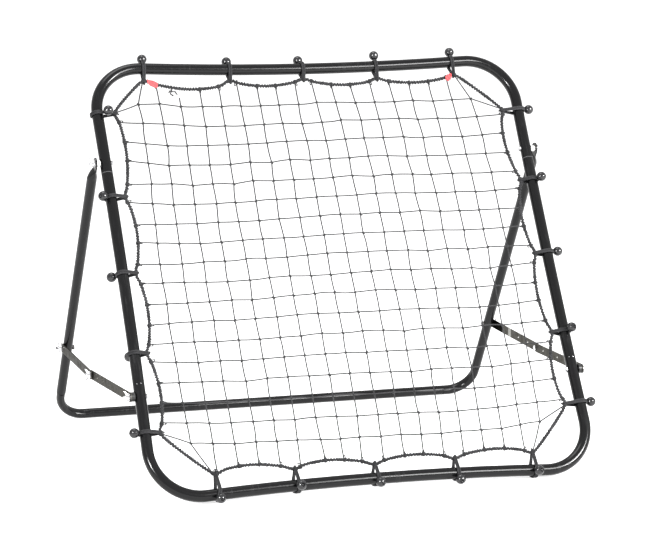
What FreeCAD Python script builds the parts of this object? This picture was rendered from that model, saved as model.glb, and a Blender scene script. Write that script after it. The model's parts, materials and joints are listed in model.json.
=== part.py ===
"""Tennis rebound net: a tilted tube frame with a sprung net, held up by a folding rear support.

All sizes are in millimetres and degrees. +Z is up, the net faces -Y, and X runs across the net.
"""

import FreeCAD, Part
import math
import os

os.makedirs("parts", exist_ok=True)

Vec = FreeCAD.Vector
X_AXIS = Vec(1, 0, 0)
Y_AXIS = Vec(0, 1, 0)
Z_AXIS = Vec(0, 0, 1)
ORIGIN = Vec(0, 0, 0)

# Front frame: a rounded square of tube, measured between the tube's centre lines
frame_width = 975.0
frame_height = 981.0
frame_corner_radius = 104.0
frame_tube_diameter = 25.0
frame_tube_wall = 1.2
frame_tilt = 33.4
bar_bow = 10.0
side_bow = 3.5

# Where the four tubes of the front frame plug together, up the sides from the bottom bar's line
lower_seam_height = 255.0
upper_seam_height = 732.0
plug_length = 55.0
plug_clearance = 0.2
swage_length = 4.0

# Rear support: two bent tubes plugged together in the middle of the floor bar
support_leg_length = 734.0
support_tube_diameter = 22.0
support_tube_wall = 1.2
support_bend_radius = 60.0
support_bend_pinch = 2.4
pinch_run = 12.0
flat_end_width = 26.0
flat_end_thickness = 3.0
flat_end_inset = 3.0
flat_end_run = 15.0
flat_end_taper = 24.0
taper_section_share = 0.45

# Bolts, washers and wing nuts
pivot_height = 757.0
bolt_diameter = 6.0
bolt_tip = 5.0
bolt_head_width = 10.0
bolt_head_height = 4.0
pivot_clearance = 0.06
hole_clearance = 0.3
washer_diameter = 16.0
washer_thickness = 1.2
nut_hub_height = 7.0
nut_hub_base = 12.5
nut_hub_top = 9.0
nut_wing_reach = 13.5
nut_wing_rise = 13.0
nut_wing_thickness = 2.6
nut_gap = 0.1
seat_gap = 0.15
pivot_spacer_diameter = 13.0
pivot_spacer_length = 8.0
strap_spacer_diameter = 20.0
strap_spacer_length = 8.0

# Brace straps: a front and a rear flat strap on each side, bolted together at the knee
brace_height = 224.5
brace_leg_distance = 525.0
front_strap_length = 281.5
knee_drop = 8.0
strap_width = 20.0
strap_thickness = 2.0
strap_end_margin = 12.0
strap_gap = 0.2
strap_side_clearance = 0.4
spare_hole_diameter = 6.6
front_spare_hole_pitch = 45.0
front_spare_holes = 3
rear_spare_hole_pitch = 56.0
rear_spare_holes = 2

# Net, border rope and bungee ties
net_strands = 18
mesh_pitch = 46.2
net_lift = 6.0
net_drift = -3.5
twine_width = 2.2
rope_diameter = 5.0
rope_gap = 0.1
rope_scallop = 17.0
rope_shoulder_run = 24.0
rope_shoulder_drop = 9.0
tie_flat = 13.0
rope_tie_radius = 9.0
rope_run_radius = 60.0
bungee_diameter = 5.0
bungee_gap = 0.15
ball_diameter = 21.5
ball_seat = 25.6
ball_gap = 0.1
left_tag_width = 24.0
right_tag_width = 17.0
tag_height = 14.0
tag_inset = 6.0
tag_thickness = 0.8
tag_gap = 0.3
tie_pocket_gap = 0.3
tie_bolt_clearance = 60.0

# Each tie: its share of the straight run from the middle of its side, how far the rope lies
# inside the tube's centre line, the ball's angle round the tube from outward to frontward, and
# the ball's slide along the tube
TIES = {
    "top": (
        (-0.970, 29.0, -9.0, 1.5),
        (-0.463, 27.0, -20.0, 0.0),
        (-0.023, 25.0, -17.0, -3.0),
        (0.425, 30.0, 6.0, 3.0),
        (0.903, 31.0, -4.0, 5.0),
    ),
    "bottom": (
        (-0.914, 44.0, 54.0, -4.5),
        (-0.470, 36.0, 73.0, 0.0),
        (-0.015, 31.0, 54.0, 0.0),
        (0.452, 33.0, 41.0, 0.0),
        (0.914, 39.0, 71.0, 0.0),
    ),
    "left": (
        (0.990, 38.0, 133.0, -1.0),
        (0.479, 31.0, 36.0, -1.5),
        (0.022, 28.0, -32.0, 0.0),
        (-0.446, 27.0, -78.0, 4.5),
        (-0.899, 31.0, 15.0, 0.0),
    ),
    "right": (
        (0.937, 37.0, 2.0, 1.5),
        (0.489, 27.0, 53.0, -1.5),
        (0.028, 28.0, 4.0, 1.5),
        (-0.459, 29.0, 68.0, 0.0),
        (-0.891, 35.0, 1.0, 0.0),
    ),
}

# Worked out from the sizes above
half_width = frame_width / 2
half_height = frame_height / 2
tube_radius = frame_tube_diameter / 2
tube_bore_radius = tube_radius - frame_tube_wall
support_radius = support_tube_diameter / 2
support_bore_radius = support_radius - support_tube_wall
rope_radius = rope_diameter / 2
bungee_radius = bungee_diameter / 2
bolt_radius = bolt_diameter / 2
pivot_hole_radius = bolt_radius + pivot_clearance
bolt_hole_radius = bolt_radius + hole_clearance
tilt = math.radians(frame_tilt)
wrap_radius = tube_radius + bungee_gap + bungee_radius
rope_turn_radius = rope_radius + bungee_gap + bungee_radius
strand_offset = bungee_radius + bungee_gap / 2


def bow_radius(run, bow):
    """Radius of a bowed tube that passes the middle and meets both corner bends smoothly."""
    reach = frame_corner_radius - bow
    return (run**2 + reach**2 - frame_corner_radius**2) / (2 * bow)


bar_run = half_width - frame_corner_radius
side_run = half_height - frame_corner_radius
bar_radius = bow_radius(bar_run, bar_bow)
side_radius = bow_radius(side_run, side_bow)


def bar_lift(u):
    """How far a bar's centre line lies inside the frame's outline at u from the middle."""
    return bar_bow - bar_radius + math.sqrt(bar_radius**2 - u**2)


def side_lift(v):
    """How far a side's centre line lies inside the frame's outline at height v."""
    w = v - half_height
    return side_bow - side_radius + math.sqrt(side_radius**2 - w**2)


def in_frame(u, v, n=0.0):
    """Point in the front frame's own plane: u across, v up, n out of the front face."""
    return Vec(u, -n, v)


def side_point(side, v):
    """Centre of a side tube at height v; side is +1 for the right and -1 for the left."""
    return in_frame(side * (half_width - side_lift(v)), v)


def corner_points(side, top):
    """Start, middle and end of a corner bend's centre line, from the bar to the side."""
    level = 1 if top else -1
    centre = Vec(side * bar_run, 0, half_height + level * side_run)
    bar_centre = Vec(0, 0, half_height + level * (half_height - bar_bow + bar_radius))
    side_centre = Vec(side * (half_width - side_bow + side_radius), 0, half_height)
    to_bar = (bar_centre - centre).normalize()
    to_side = (side_centre - centre).normalize()
    to_middle = Vec(side, 0, level).normalize()
    return [centre + d * frame_corner_radius for d in (to_bar, to_middle, to_side)]


def arc(a, b, c):
    """Arc edge through three points."""
    return Part.Arc(a, b, c).toShape()


def side_edge(side, v_from, v_to):
    """Bowed centre line of a side tube between two heights."""
    middle = (v_from + v_to) / 2
    return arc(side_point(side, v_from), side_point(side, middle), side_point(side, v_to))


def u_path(top):
    """Centre line of the top or bottom tube, from the left seam round to the right seam."""
    seam = upper_seam_height if top else lower_seam_height
    left = corner_points(-1, top)
    right = corner_points(1, top)
    bar_v = frame_height - bar_bow if top else bar_bow
    edges = [
        side_edge(-1, seam, left[2].z),
        arc(left[2], left[1], left[0]),
        arc(left[0], in_frame(0, bar_v), right[0]),
        arc(right[0], right[1], right[2]),
        side_edge(1, right[2].z, seam),
    ]
    return Part.Wire(edges)


def sweep(path, radius):
    """Round bar along a smooth path."""
    start = path.Edges[0]
    point = start.valueAt(start.FirstParameter)
    direction = start.tangentAt(start.FirstParameter)
    ring = Part.Wire([Part.Circle(point, direction, radius).toShape()])
    return path.makePipeShell([ring], True, False)


def tube_along(path, radius, bore_radius):
    """Hollow tube along a smooth path."""
    return sweep(path, radius).cut(sweep(path, bore_radius))


def x_cylinder(x_from, x_to, radius, y=0.0, z=0.0):
    """Cylinder along X between two places."""
    length = abs(x_to - x_from)
    return Part.makeCylinder(radius, length, Vec(min(x_from, x_to), y, z), X_AXIS)


def mirrored(shape):
    """The same shape on the other side of the net."""
    return shape.mirror(ORIGIN, X_AXIS)


def tilt_frame(shape):
    """Front frame shape leaned back to its place."""
    placed = shape.copy()
    placed.rotate(ORIGIN, X_AXIS, -frame_tilt)
    return placed


def lean_back(point):
    """Front frame point leaned back to its place."""
    return Vec(
        point.x,
        point.y * math.cos(tilt) + point.z * math.sin(tilt),
        point.z * math.cos(tilt) - point.y * math.sin(tilt),
    )


# Front frame tubes

pivot_centre = side_point(1, pivot_height)
brace_centre = side_point(1, brace_height)


def cross_holes(shape, radius):
    """Bolt holes across both side tubes at the pivot and at the brace."""
    reach = half_width + tube_radius
    for centre in (pivot_centre, brace_centre):
        shape = shape.cut(x_cylinder(-reach, reach, radius, centre.y, centre.z))
    return shape


def frame_end_tube(top):
    """Top or bottom tube of the front frame, with both corner bends."""
    path = u_path(top)
    return cross_holes(tube_along(path, tube_radius, tube_bore_radius), bolt_hole_radius)


def frame_side_tube(side):
    """Side tube with a thinner plug swaged on each end."""
    plug_radius = tube_bore_radius - plug_clearance
    plug_bore = plug_radius - frame_tube_wall
    body_from = lower_seam_height + seat_gap
    body_to = upper_seam_height - seat_gap
    long_path = Part.Wire([side_edge(side, body_from - plug_length, body_to + plug_length)])
    body_path = Part.Wire([side_edge(side, body_from, body_to)])
    bore_path = Part.Wire([side_edge(side, body_from + swage_length, body_to - swage_length)])
    shape = sweep(body_path, tube_radius).fuse(sweep(long_path, plug_radius))
    shape = shape.cut(sweep(long_path, plug_bore)).cut(sweep(bore_path, tube_bore_radius))
    return cross_holes(shape, bolt_hole_radius)


# Rear support, built with the pivot at its origin and the legs hanging straight down

frame_outer_x = pivot_centre.x + tube_radius
plate_inner_x = frame_outer_x + pivot_spacer_length + 2 * seat_gap
plate_outer_x = plate_inner_x + flat_end_thickness
support_plate_x = (plate_inner_x + plate_outer_x) / 2
support_half_width = support_plate_x + flat_end_inset


def oval_wire(centre, across, along, normal_z):
    """Closed oval of four arcs across X and Y at a given height."""
    ellipse = Part.Ellipse(centre, max(across, along), min(across, along))
    edge = ellipse.toShape()
    if along > across:
        edge.rotate(centre, Z_AXIS, 90)
    return Part.Wire([edge])


def flat_end():
    """Flattened top end of a right-hand leg with its taper into the round tube."""
    half = flat_end_width / 2
    inner = plate_inner_x
    drop = flat_end_run
    points = [
        Vec(inner, -half, 0),
        Vec(inner, 0, half),
        Vec(inner, half, 0),
        Vec(inner, half, -drop),
        Vec(inner, -half, -drop),
    ]
    edges = [
        arc(points[0], points[1], points[2]),
        Part.makeLine(points[2], points[3]),
        Part.makeLine(points[3], points[4]),
        Part.makeLine(points[4], points[0]),
    ]
    plate = Part.Face(Part.Wire(edges)).extrude(Vec(flat_end_thickness, 0, 0))
    top = -drop + seat_gap
    low = -drop - flat_end_taper
    middle = -drop - flat_end_taper * taper_section_share
    blend_x = (support_plate_x + support_half_width) / 2
    wires = [
        oval_wire(Vec(support_plate_x, 0, top), flat_end_thickness / 2, half, top),
        oval_wire(Vec(blend_x, 0, middle), support_radius * 0.7, half * 0.95, middle),
        oval_wire(Vec(support_half_width, 0, low), support_radius, support_radius, low),
    ]
    return plate.fuse(Part.makeLoft(wires, True, False))


def bend_half(radius, pinch):
    """Oval bar round the right-hand bend of the floor bar, with its short straight runs."""
    centre = Vec(support_half_width - support_bend_radius, 0, support_bend_radius)
    centre = centre - Vec(0, 0, support_leg_length)
    start = Vec(support_half_width, 0, centre.z)
    ring = Part.Ellipse(start, radius + pinch / 2, radius - pinch / 2).toShape()
    ring.rotate(start, Z_AXIS, 90)
    face = Part.Face(Part.Wire([ring]))
    bend = face.revolve(centre, Y_AXIS, 90)
    upper = face.extrude(Vec(0, 0, pinch_run))
    end_face = face.copy()
    end_face.rotate(centre, Y_AXIS, 90)
    side = end_face.extrude(Vec(-pinch_run, 0, 0))
    return bend.fuse([upper, side])


def rear_tube(side):
    """One half of the rear support: leg, bend and half of the floor bar."""
    z_floor_bar = -support_leg_length
    z_bend = z_floor_bar + support_bend_radius + pinch_run
    z_tube_top = -flat_end_run - flat_end_taper
    x_bend = support_half_width - support_bend_radius - pinch_run
    bar_centre = Vec(0, 0, z_floor_bar)
    leg_base = Vec(support_half_width, 0, z_bend)
    leg_length = z_tube_top - z_bend
    wall = support_tube_wall

    def straight(radius, bar_from):
        leg = Part.makeCylinder(radius, leg_length, leg_base, Z_AXIS)
        bar = Part.makeCylinder(radius, x_bend - bar_from, bar_centre + Vec(bar_from, 0, 0), X_AXIS)
        return leg, bar

    leg, bar = straight(support_radius, seat_gap)
    leg_bore, bar_bore = straight(support_bore_radius, seat_gap)
    shape = bend_half(support_radius, support_bend_pinch).fuse([leg, bar, flat_end()])
    shape = shape.cut(bend_half(support_radius - wall, support_bend_pinch))
    shape = shape.cut(leg_bore).cut(bar_bore)
    if side < 0:
        plug_radius = support_bore_radius - plug_clearance
        plug = x_cylinder(-plug_length, swage_length, plug_radius, 0, z_floor_bar)
        bore = x_cylinder(-plug_length, swage_length, plug_radius - wall, 0, z_floor_bar)
        ring = x_cylinder(seat_gap, swage_length, support_radius, 0, z_floor_bar)
        shape = shape.fuse([plug, ring]).cut(bore)
        shape = mirrored(shape)
    pivot = x_cylinder(-support_half_width * 2, support_half_width * 2, pivot_hole_radius)
    reach = support_half_width + support_radius
    brace = x_cylinder(-reach, reach, bolt_hole_radius, 0, -brace_leg_distance)
    return shape.cut(pivot).cut(brace)


# Net, rope and bungee ties, built in the front frame's plane


def clear_height(v):
    """Height of a side tie, moved along its tube where it would come too near a cross bolt."""
    for bolt_height in (pivot_height, brace_height):
        away = v - bolt_height
        if abs(away) < tie_bolt_clearance:
            return bolt_height + math.copysign(tie_bolt_clearance, away)
    return v


def side_frame(name, share):
    """Centre, tangent and outward direction of the tube at a tie, in the frame's plane."""
    if name in ("top", "bottom"):
        level = 1 if name == "top" else -1
        u = share * bar_run
        v = half_height + level * (half_height - bar_lift(u))
        slope = u / math.sqrt(bar_radius**2 - u**2)
        return in_frame(u, v), Vec(1, 0, level * slope).normalize(), Vec(-slope, 0, level).normalize()
    level = 1 if name == "right" else -1
    v = clear_height(half_height + share * side_run)
    w = v - half_height
    slope = w / math.sqrt(side_radius**2 - w**2)
    return side_point(level, v), Vec(level * slope, 0, 1).normalize(), Vec(level, 0, -slope).normalize()


def ordered_ties():
    """All ties in order round the frame: top, right, bottom, left."""
    order = []
    for name, turned in (("top", False), ("right", True), ("bottom", True), ("left", False)):
        ties = TIES[name]
        if name in ("left", "right"):
            ties = sorted(ties, key=lambda tie: tie[0], reverse=name == "right")
        elif turned:
            ties = tuple(reversed(ties))
        order.extend((name, tie) for tie in ties)
    return order


def rope_points():
    """Corners of the border rope's line: two at each tie and three or none between ties."""
    stations = []
    for name, (share, inset, _, _) in ordered_ties():
        centre, tangent, outward = side_frame(name, share)
        forward = tangent * (1 if name in ("top", "left") else -1)
        stations.append((name, centre - outward * inset, forward, outward))
    points = []
    for index, (name, place, forward, outward) in enumerate(stations):
        follower = stations[(index + 1) % len(stations)]
        points.append(place - forward * (tie_flat / 2))
        points.append(place + forward * (tie_flat / 2))
        if follower[0] == name:
            middle = (place + follower[1]) / 2 - outward * rope_scallop
            points.append(place + forward * rope_shoulder_run - outward * rope_shoulder_drop)
            points.append(middle)
            shoulder = follower[1] - follower[2] * rope_shoulder_run
            points.append(shoulder - follower[3] * rope_shoulder_drop)
    return points


def rounded_loop(points, small, large):
    """Closed wire of straight runs joined by tangent arcs."""
    count = len(points)
    ends = []
    for index, point in enumerate(points):
        back = points[index - 1] - point
        ahead = points[(index + 1) % count] - point
        turn = math.pi - back.getAngle(ahead)
        limit = 0.45 * min(back.Length, ahead.Length) / math.tan(turn / 2)
        wanted = small if min(back.Length, ahead.Length) <= tie_flat * 1.01 else large
        radius = min(wanted, limit)
        trim = radius * math.tan(turn / 2)
        start = point + Vec(back).normalize() * trim
        end = point + Vec(ahead).normalize() * trim
        inward = (Vec(back).normalize() + Vec(ahead).normalize()).normalize()
        middle = point + inward * (radius / math.cos(turn / 2) - radius)
        ends.append((start, middle, end))
    edges = []
    for index, (start, middle, end) in enumerate(ends):
        edges.append(arc(start, middle, end))
        edges.append(Part.makeLine(end, ends[(index + 1) % count][0]))
    return Part.Wire(edges)


rope_line = rounded_loop(rope_points(), rope_tie_radius, rope_run_radius)


def border_rope():
    """Rope round the net, drawn out to each tie."""
    return sweep(rope_line, rope_radius)


def tie_pocket(name, share, inset):
    """Face kept clear of the net where a bungee turns round the rope."""
    centre, tangent, outward = side_frame(name, share)
    depth = rope_turn_radius + bungee_radius + tie_pocket_gap
    rope_centre = centre - outward * inset
    corners = []
    for along, inward in ((-1, 0), (1, 0), (1, 1), (-1, 1)):
        corners.append(rope_centre + tangent * (along * tie_flat / 2) - outward * (inward * depth))
    return Part.Face(Part.makePolygon(corners + corners[:1]))


def net():
    """Knotted square mesh as one holed sheet, its strands running out to the rope."""
    edge_line = rope_line.makeOffset2D(-(rope_radius + rope_gap))
    sheet = Part.Face(edge_line)
    for name, (share, inset, _, _) in ordered_ties():
        sheet = sheet.cut(tie_pocket(name, share, inset))
    last = net_strands - 1
    middle_v = half_height + net_lift
    lines_u = [net_drift + (i - last / 2) * mesh_pitch for i in range(net_strands)]
    lines_v = [middle_v + (i - last / 2) * mesh_pitch for i in range(net_strands)]
    far = frame_width
    half = twine_width / 2

    def bands(lines):
        edges = [lines[0] - far] + list(lines) + [lines[-1] + far]
        return [(a + half, b - half) for a, b in zip(edges, edges[1:])]

    cells = []
    for u_from, u_to in bands(lines_u):
        for v_from, v_to in bands(lines_v):
            corners = [(u_from, v_from), (u_to, v_from), (u_to, v_to), (u_from, v_to)]
            ring = [in_frame(u, v) for u, v in corners]
            cells.append(Part.Face(Part.makePolygon(ring + ring[:1])))
    holed = sheet.cut(Part.makeCompound(cells))
    solid = holed.Faces[0].extrude(Vec(0, twine_width, 0))
    solid.translate(Vec(0, -half, 0))
    return solid


def belt_line(centre, outward, inset, grow=0.0):
    """Closed line round the tube and the rope, in the plane across the tube."""
    front = Vec(0, -1, 0)
    wrap = wrap_radius + grow
    turn = rope_turn_radius + grow
    lean = -(wrap_radius - rope_turn_radius) / inset
    rise = math.sqrt(1 - lean**2)
    rope_centre = centre - outward * inset

    def touch(middle, radius, level):
        return middle + (outward * lean + front * (level * rise)) * radius

    tube_front = touch(centre, wrap, 1)
    tube_back = touch(centre, wrap, -1)
    rope_front = touch(rope_centre, turn, 1)
    rope_back = touch(rope_centre, turn, -1)
    edges = [
        Part.makeLine(rope_front, tube_front),
        arc(tube_front, centre + outward * wrap, tube_back),
        Part.makeLine(tube_back, rope_back),
        arc(rope_back, rope_centre - outward * turn, rope_front),
    ]
    return Part.Wire(edges)


def bungee_cords(name):
    """The doubled cord of every bungee tie on one side of the frame."""
    strands = []
    for share, inset, _, _ in TIES[name]:
        centre, tangent, outward = side_frame(name, share)
        for shift in (-strand_offset, strand_offset):
            strands.append(sweep(belt_line(centre + tangent * shift, outward, inset), bungee_radius))
    return Part.makeCompound(strands)


def ball_distance(inset, angle):
    """Distance of a ball's centre from the tube's, its foot seated over the two strands."""
    straight_from = math.pi / 2 + math.asin((wrap_radius - rope_turn_radius) / inset)
    past = max(0.0, abs(angle) - straight_from)
    return ball_seat / math.cos(past)


def bungee_balls(name):
    """The ball toggle of every bungee tie on one side of the frame."""
    balls = []
    half = strand_offset + bungee_radius + ball_gap
    for share, inset, angle, slide in TIES[name]:
        centre, tangent, outward = side_frame(name, share)
        turn = math.radians(angle)
        direction = outward * math.cos(turn) + Vec(0, -1, 0) * math.sin(turn)
        place = centre + direction * ball_distance(inset, turn) + tangent * slide
        outline = belt_line(centre - tangent * half, outward, inset, bungee_radius + ball_gap)
        groove = Part.Face(outline).extrude(tangent * (2 * half))
        balls.append(Part.makeSphere(ball_diameter / 2, place).cut(groove))
    return Part.makeCompound(balls)


def corner_tag(tie_index, towards, width):
    """Small cloth tag hanging from the rope beside a top corner tie, its upper edge along it."""
    share, inset, _, _ = TIES["top"][tie_index]
    centre, tangent, outward = side_frame("top", share)
    place = centre - outward * inset - Vec(0, rope_radius + tag_gap, 0)
    near = place + tangent * (towards * tag_inset)
    far = place + tangent * (towards * (tag_inset + width)) - outward * rope_shoulder_drop
    low = (near + far) / 2 - outward * tag_height
    near_low = near - outward * (tag_height * 0.45)
    far_low = far - outward * (tag_height * 0.2)
    outline = [
        Part.makeLine(near, near_low),
        arc(near_low, low, far_low),
        Part.makeLine(far_low, far),
        Part.makeLine(far, near),
    ]
    return Part.Face(Part.Wire(outline)).extrude(Vec(0, -tag_thickness, 0))


# Bolts and nuts along X; x values are for the right-hand side


def hexagon(x, width, height, y, z):
    """Hexagon head standing inward from x."""
    corner = width / math.sqrt(3)
    ring = []
    for index in range(7):
        turn = math.radians(60 * index)
        ring.append(Vec(x, y + corner * math.cos(turn), z + corner * math.sin(turn)))
    return Part.Face(Part.makePolygon(ring)).extrude(Vec(-height, 0, 0))


def bolt(x_head, x_tip, y, z):
    """Hexagon bolt with its head's seat at x_head."""
    head = hexagon(x_head, bolt_head_width, bolt_head_height, y, z)
    tip_bevel = bolt_radius / 4
    shank = x_cylinder(x_head, x_tip - tip_bevel, bolt_radius, y, z)
    cone = Part.makeCone(bolt_radius, bolt_radius - tip_bevel, tip_bevel, Vec(x_tip - tip_bevel, y, z), X_AXIS)
    return head.fuse([shank, cone])


def ring(x_from, thickness, diameter, hole_radius, y, z):
    """Washer or spacer standing outward from x_from."""
    outer = x_cylinder(x_from, x_from + thickness, diameter / 2, y, z)
    return outer.cut(x_cylinder(x_from, x_from + thickness, hole_radius, y, z))


def wing_nut(x_seat, y, z, turn):
    """Wing nut seated at x_seat, its wings turned from upright by an angle."""
    hub = Part.makeCone(nut_hub_base / 2, nut_hub_top / 2, nut_hub_height, ORIGIN, X_AXIS)
    root = nut_hub_top / 2 - 1
    profile = [
        Vec(nut_hub_height * 0.1, 0, root),
        Vec(nut_hub_height * 0.2, 0, nut_hub_base / 2 + 1),
        Vec(nut_wing_rise * 0.62, 0, nut_wing_reach),
        Vec(nut_wing_rise, 0, nut_wing_reach * 0.92),
        Vec(nut_wing_rise * 0.92, 0, nut_wing_reach * 0.68),
        Vec(nut_hub_height * 0.95, 0, root),
    ]
    face = Part.Face(Part.makePolygon(profile + profile[:1]))
    wing = face.extrude(Vec(0, nut_wing_thickness, 0))
    wing.translate(Vec(0, -nut_wing_thickness / 2, 0))
    long_edges = [e for e in wing.Edges if abs(e.tangentAt(e.FirstParameter).y) > 0.9]
    outer_edges = [e for e in long_edges if e.CenterOfMass.z > nut_hub_base / 2 + 2]
    wing = wing.makeFillet(nut_wing_thickness / 2, outer_edges)
    other = wing.copy()
    other.rotate(ORIGIN, X_AXIS, 180)
    nut = hub.fuse([wing, other]).cut(x_cylinder(0, nut_wing_rise, pivot_hole_radius))
    nut.rotate(ORIGIN, X_AXIS, turn)
    nut.translate(Vec(x_seat, y, z))
    return nut


def strap(reach, spare_pitch, spare_count, slant):
    """Flat strap along +Y from its first bolt to its second, its far end slanted out in X."""
    length = reach / math.cos(slant)
    half = strap_width / 2
    far = length + strap_end_margin
    near = -strap_end_margin
    outline = [
        Part.makeLine(Vec(0, near + half, half), Vec(0, far - half, half)),
        arc(Vec(0, far - half, half), Vec(0, far, 0), Vec(0, far - half, -half)),
        Part.makeLine(Vec(0, far - half, -half), Vec(0, near + half, -half)),
        arc(Vec(0, near + half, -half), Vec(0, near, 0), Vec(0, near + half, half)),
    ]
    plate = Part.Face(Part.Wire(outline)).extrude(Vec(strap_thickness, 0, 0))
    for index in range(spare_count):
        place = length - spare_pitch * (index + 1)
        plate = plate.cut(x_cylinder(0, strap_thickness, spare_hole_diameter / 2, place))
    plate.rotate(ORIGIN, Z_AXIS, -math.degrees(slant))
    drill = length * math.sin(slant) + strap_width
    for place in (0.0, reach):
        plate = plate.cut(x_cylinder(-drill, drill, pivot_hole_radius, place))
    return plate


# Where the moving pieces meet, in the standing position

pivot = lean_back(pivot_centre)
brace_bolt = lean_back(brace_centre)


def wrap_low(share):
    """Lowest point of a bottom bungee strand below the bottom bar's outline."""
    centre, tangent, outward = side_frame("bottom", share)
    drop = wrap_radius * math.hypot(outward.z * math.cos(tilt), math.sin(tilt))
    return lean_back(centre).z - abs(tangent.z) * strand_offset * math.cos(tilt) - drop - bungee_radius


floor = min(wrap_low(share) for share, _, _, _ in TIES["bottom"])
leg_angle = math.acos((pivot.z - floor - support_radius) / support_leg_length)


def on_leg(distance):
    """Point on a leg's centre line, seen from the side."""
    down = distance * math.cos(leg_angle)
    return Vec(0, pivot.y + distance * math.sin(leg_angle), pivot.z - down)


leg_bolt = on_leg(brace_leg_distance)
brace_start = Vec(0, brace_bolt.y, brace_bolt.z)
brace_chord = leg_bolt - brace_start
knee_share = math.sqrt(front_strap_length**2 - knee_drop**2)
knee = brace_start + Vec(brace_chord).normalize() * knee_share
knee = knee - X_AXIS.cross(Vec(brace_chord).normalize()) * knee_drop
rear_strap_length = (leg_bolt - knee).Length

# Places along X on the right-hand side, from the inside out
frame_inner_x = pivot_centre.x - tube_radius
brace_outer_x = brace_centre.x + tube_radius
brace_inner_x = brace_centre.x - tube_radius
leg_outer_x = support_half_width + support_radius
leg_inner_x = support_half_width - support_radius
front_strap_x = brace_outer_x + strap_spacer_length + seat_gap * 2
rear_strap_x = leg_outer_x + strap_side_clearance
slant_run = front_strap_length + strap_end_margin
slant_rise = rear_strap_x - strap_gap - strap_thickness - front_strap_x
strap_slant = math.atan2(slant_rise, slant_run)
knee_front_x = front_strap_x + front_strap_length * math.tan(strap_slant)
slant_seat = math.tan(strap_slant) * washer_diameter / 2


def turned_strap(plate, place, direction, x):
    """Strap laid from a bolt in a direction in the side view."""
    laid = plate.copy()
    laid.rotate(ORIGIN, X_AXIS, math.degrees(math.atan2(direction.z, direction.y)))
    laid.translate(Vec(x, place.y, place.z))
    return laid


def front_strap():
    """Right-hand front strap, from the frame to the knee."""
    plate = strap(front_strap_length, front_spare_hole_pitch, front_spare_holes, strap_slant)
    return turned_strap(plate, brace_start, knee - brace_start, front_strap_x)


def rear_strap():
    """Right-hand rear strap, from the leg to the knee."""
    plate = strap(rear_strap_length, rear_spare_hole_pitch, rear_spare_holes, 0.0)
    return turned_strap(plate, leg_bolt, knee - leg_bolt, rear_strap_x)


def support_in_place(shape):
    """Rear support shape swung to its standing angle on the pivot."""
    placed = shape.copy()
    placed.rotate(ORIGIN, X_AXIS, math.degrees(leg_angle))
    placed.translate(Vec(0, pivot.y, pivot.z))
    return placed


def both(shape):
    """Right-hand piece and its mirror copy as one node."""
    return Part.makeCompound([mirrored(shape), shape])


nut_stack = washer_thickness + nut_gap + nut_hub_height + bolt_tip


def stack(x_head, x_face, place, seat=seat_gap):
    """Bolt, washer and nut seat for a joint whose outer face is at x_face."""
    washer_x = x_face + seat
    tip = washer_x + nut_stack
    piece = bolt(x_head - seat_gap, tip, place.y, place.z)
    disc = ring(washer_x, washer_thickness, washer_diameter, pivot_hole_radius, place.y, place.z)
    return piece, disc, washer_x + washer_thickness + nut_gap


pieces = {
    "frame_top_tube": tilt_frame(frame_end_tube(True)),
    "frame_bottom_tube": tilt_frame(frame_end_tube(False)),
    "frame_left_tube": tilt_frame(frame_side_tube(-1)),
    "frame_right_tube": tilt_frame(frame_side_tube(1)),
    "rear_left_tube": support_in_place(rear_tube(-1)),
    "rear_right_tube": support_in_place(rear_tube(1)),
    "net": tilt_frame(net()),
    "border_rope": tilt_frame(border_rope()),
    "left_corner_tag": tilt_frame(corner_tag(0, 1, left_tag_width)),
    "right_corner_tag": tilt_frame(corner_tag(-1, -1, right_tag_width)),
}
for side_name in TIES:
    pieces["bungee_cords_" + side_name] = tilt_frame(bungee_cords(side_name))
    pieces["bungee_balls_" + side_name] = tilt_frame(bungee_balls(side_name))

# Pivot at the top of the legs
pivot_bolt, pivot_washer, pivot_nut_x = stack(frame_inner_x, plate_outer_x, pivot)
pivot_spacer = ring(
    frame_outer_x + seat_gap,
    pivot_spacer_length,
    pivot_spacer_diameter,
    pivot_hole_radius,
    pivot.y,
    pivot.z,
)
pieces["pivot_bolts"] = both(pivot_bolt)
pieces["pivot_washers"] = both(pivot_washer)
pieces["pivot_spacers"] = both(pivot_spacer)

# Front ends of the brace straps
front_face_x = front_strap_x + strap_thickness
front_bolt, front_washer, front_nut_x = stack(
    brace_inner_x, front_face_x, brace_bolt, seat_gap + slant_seat
)
front_spacer = ring(
    brace_outer_x + seat_gap,
    strap_spacer_length - math.tan(strap_slant) * strap_spacer_diameter / 2,
    strap_spacer_diameter,
    pivot_hole_radius,
    brace_bolt.y,
    brace_bolt.z,
)
pieces["brace_front_bolts"] = both(front_bolt)
pieces["brace_front_washers"] = both(front_washer)
pieces["brace_spacers"] = both(front_spacer)

# Rear ends of the brace straps
rear_face_x = rear_strap_x + strap_thickness
rear_bolt, rear_washer, rear_nut_x = stack(leg_inner_x, rear_face_x, leg_bolt)
pieces["brace_rear_bolts"] = both(rear_bolt)
pieces["brace_rear_washers"] = both(rear_washer)

# Knee bolts, parted between the two straps
knee_head_seat = knee_front_x - math.tan(strap_slant) * bolt_head_width
knee_bolt, knee_washer, knee_nut_x = stack(knee_head_seat, rear_face_x, knee)
part_x = rear_strap_x - strap_gap / 2
tip_x = knee_nut_x + nut_hub_height + bolt_tip
far_x = tip_x + bolt_tip
inner_half = x_cylinder(knee_front_x - support_half_width, part_x, washer_diameter, knee.y, knee.z)
outer_half = x_cylinder(part_x + strap_gap / 2, far_x, washer_diameter, knee.y, knee.z)
knee_head = knee_bolt.common(inner_half)
knee_end = knee_bolt.common(outer_half)

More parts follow.
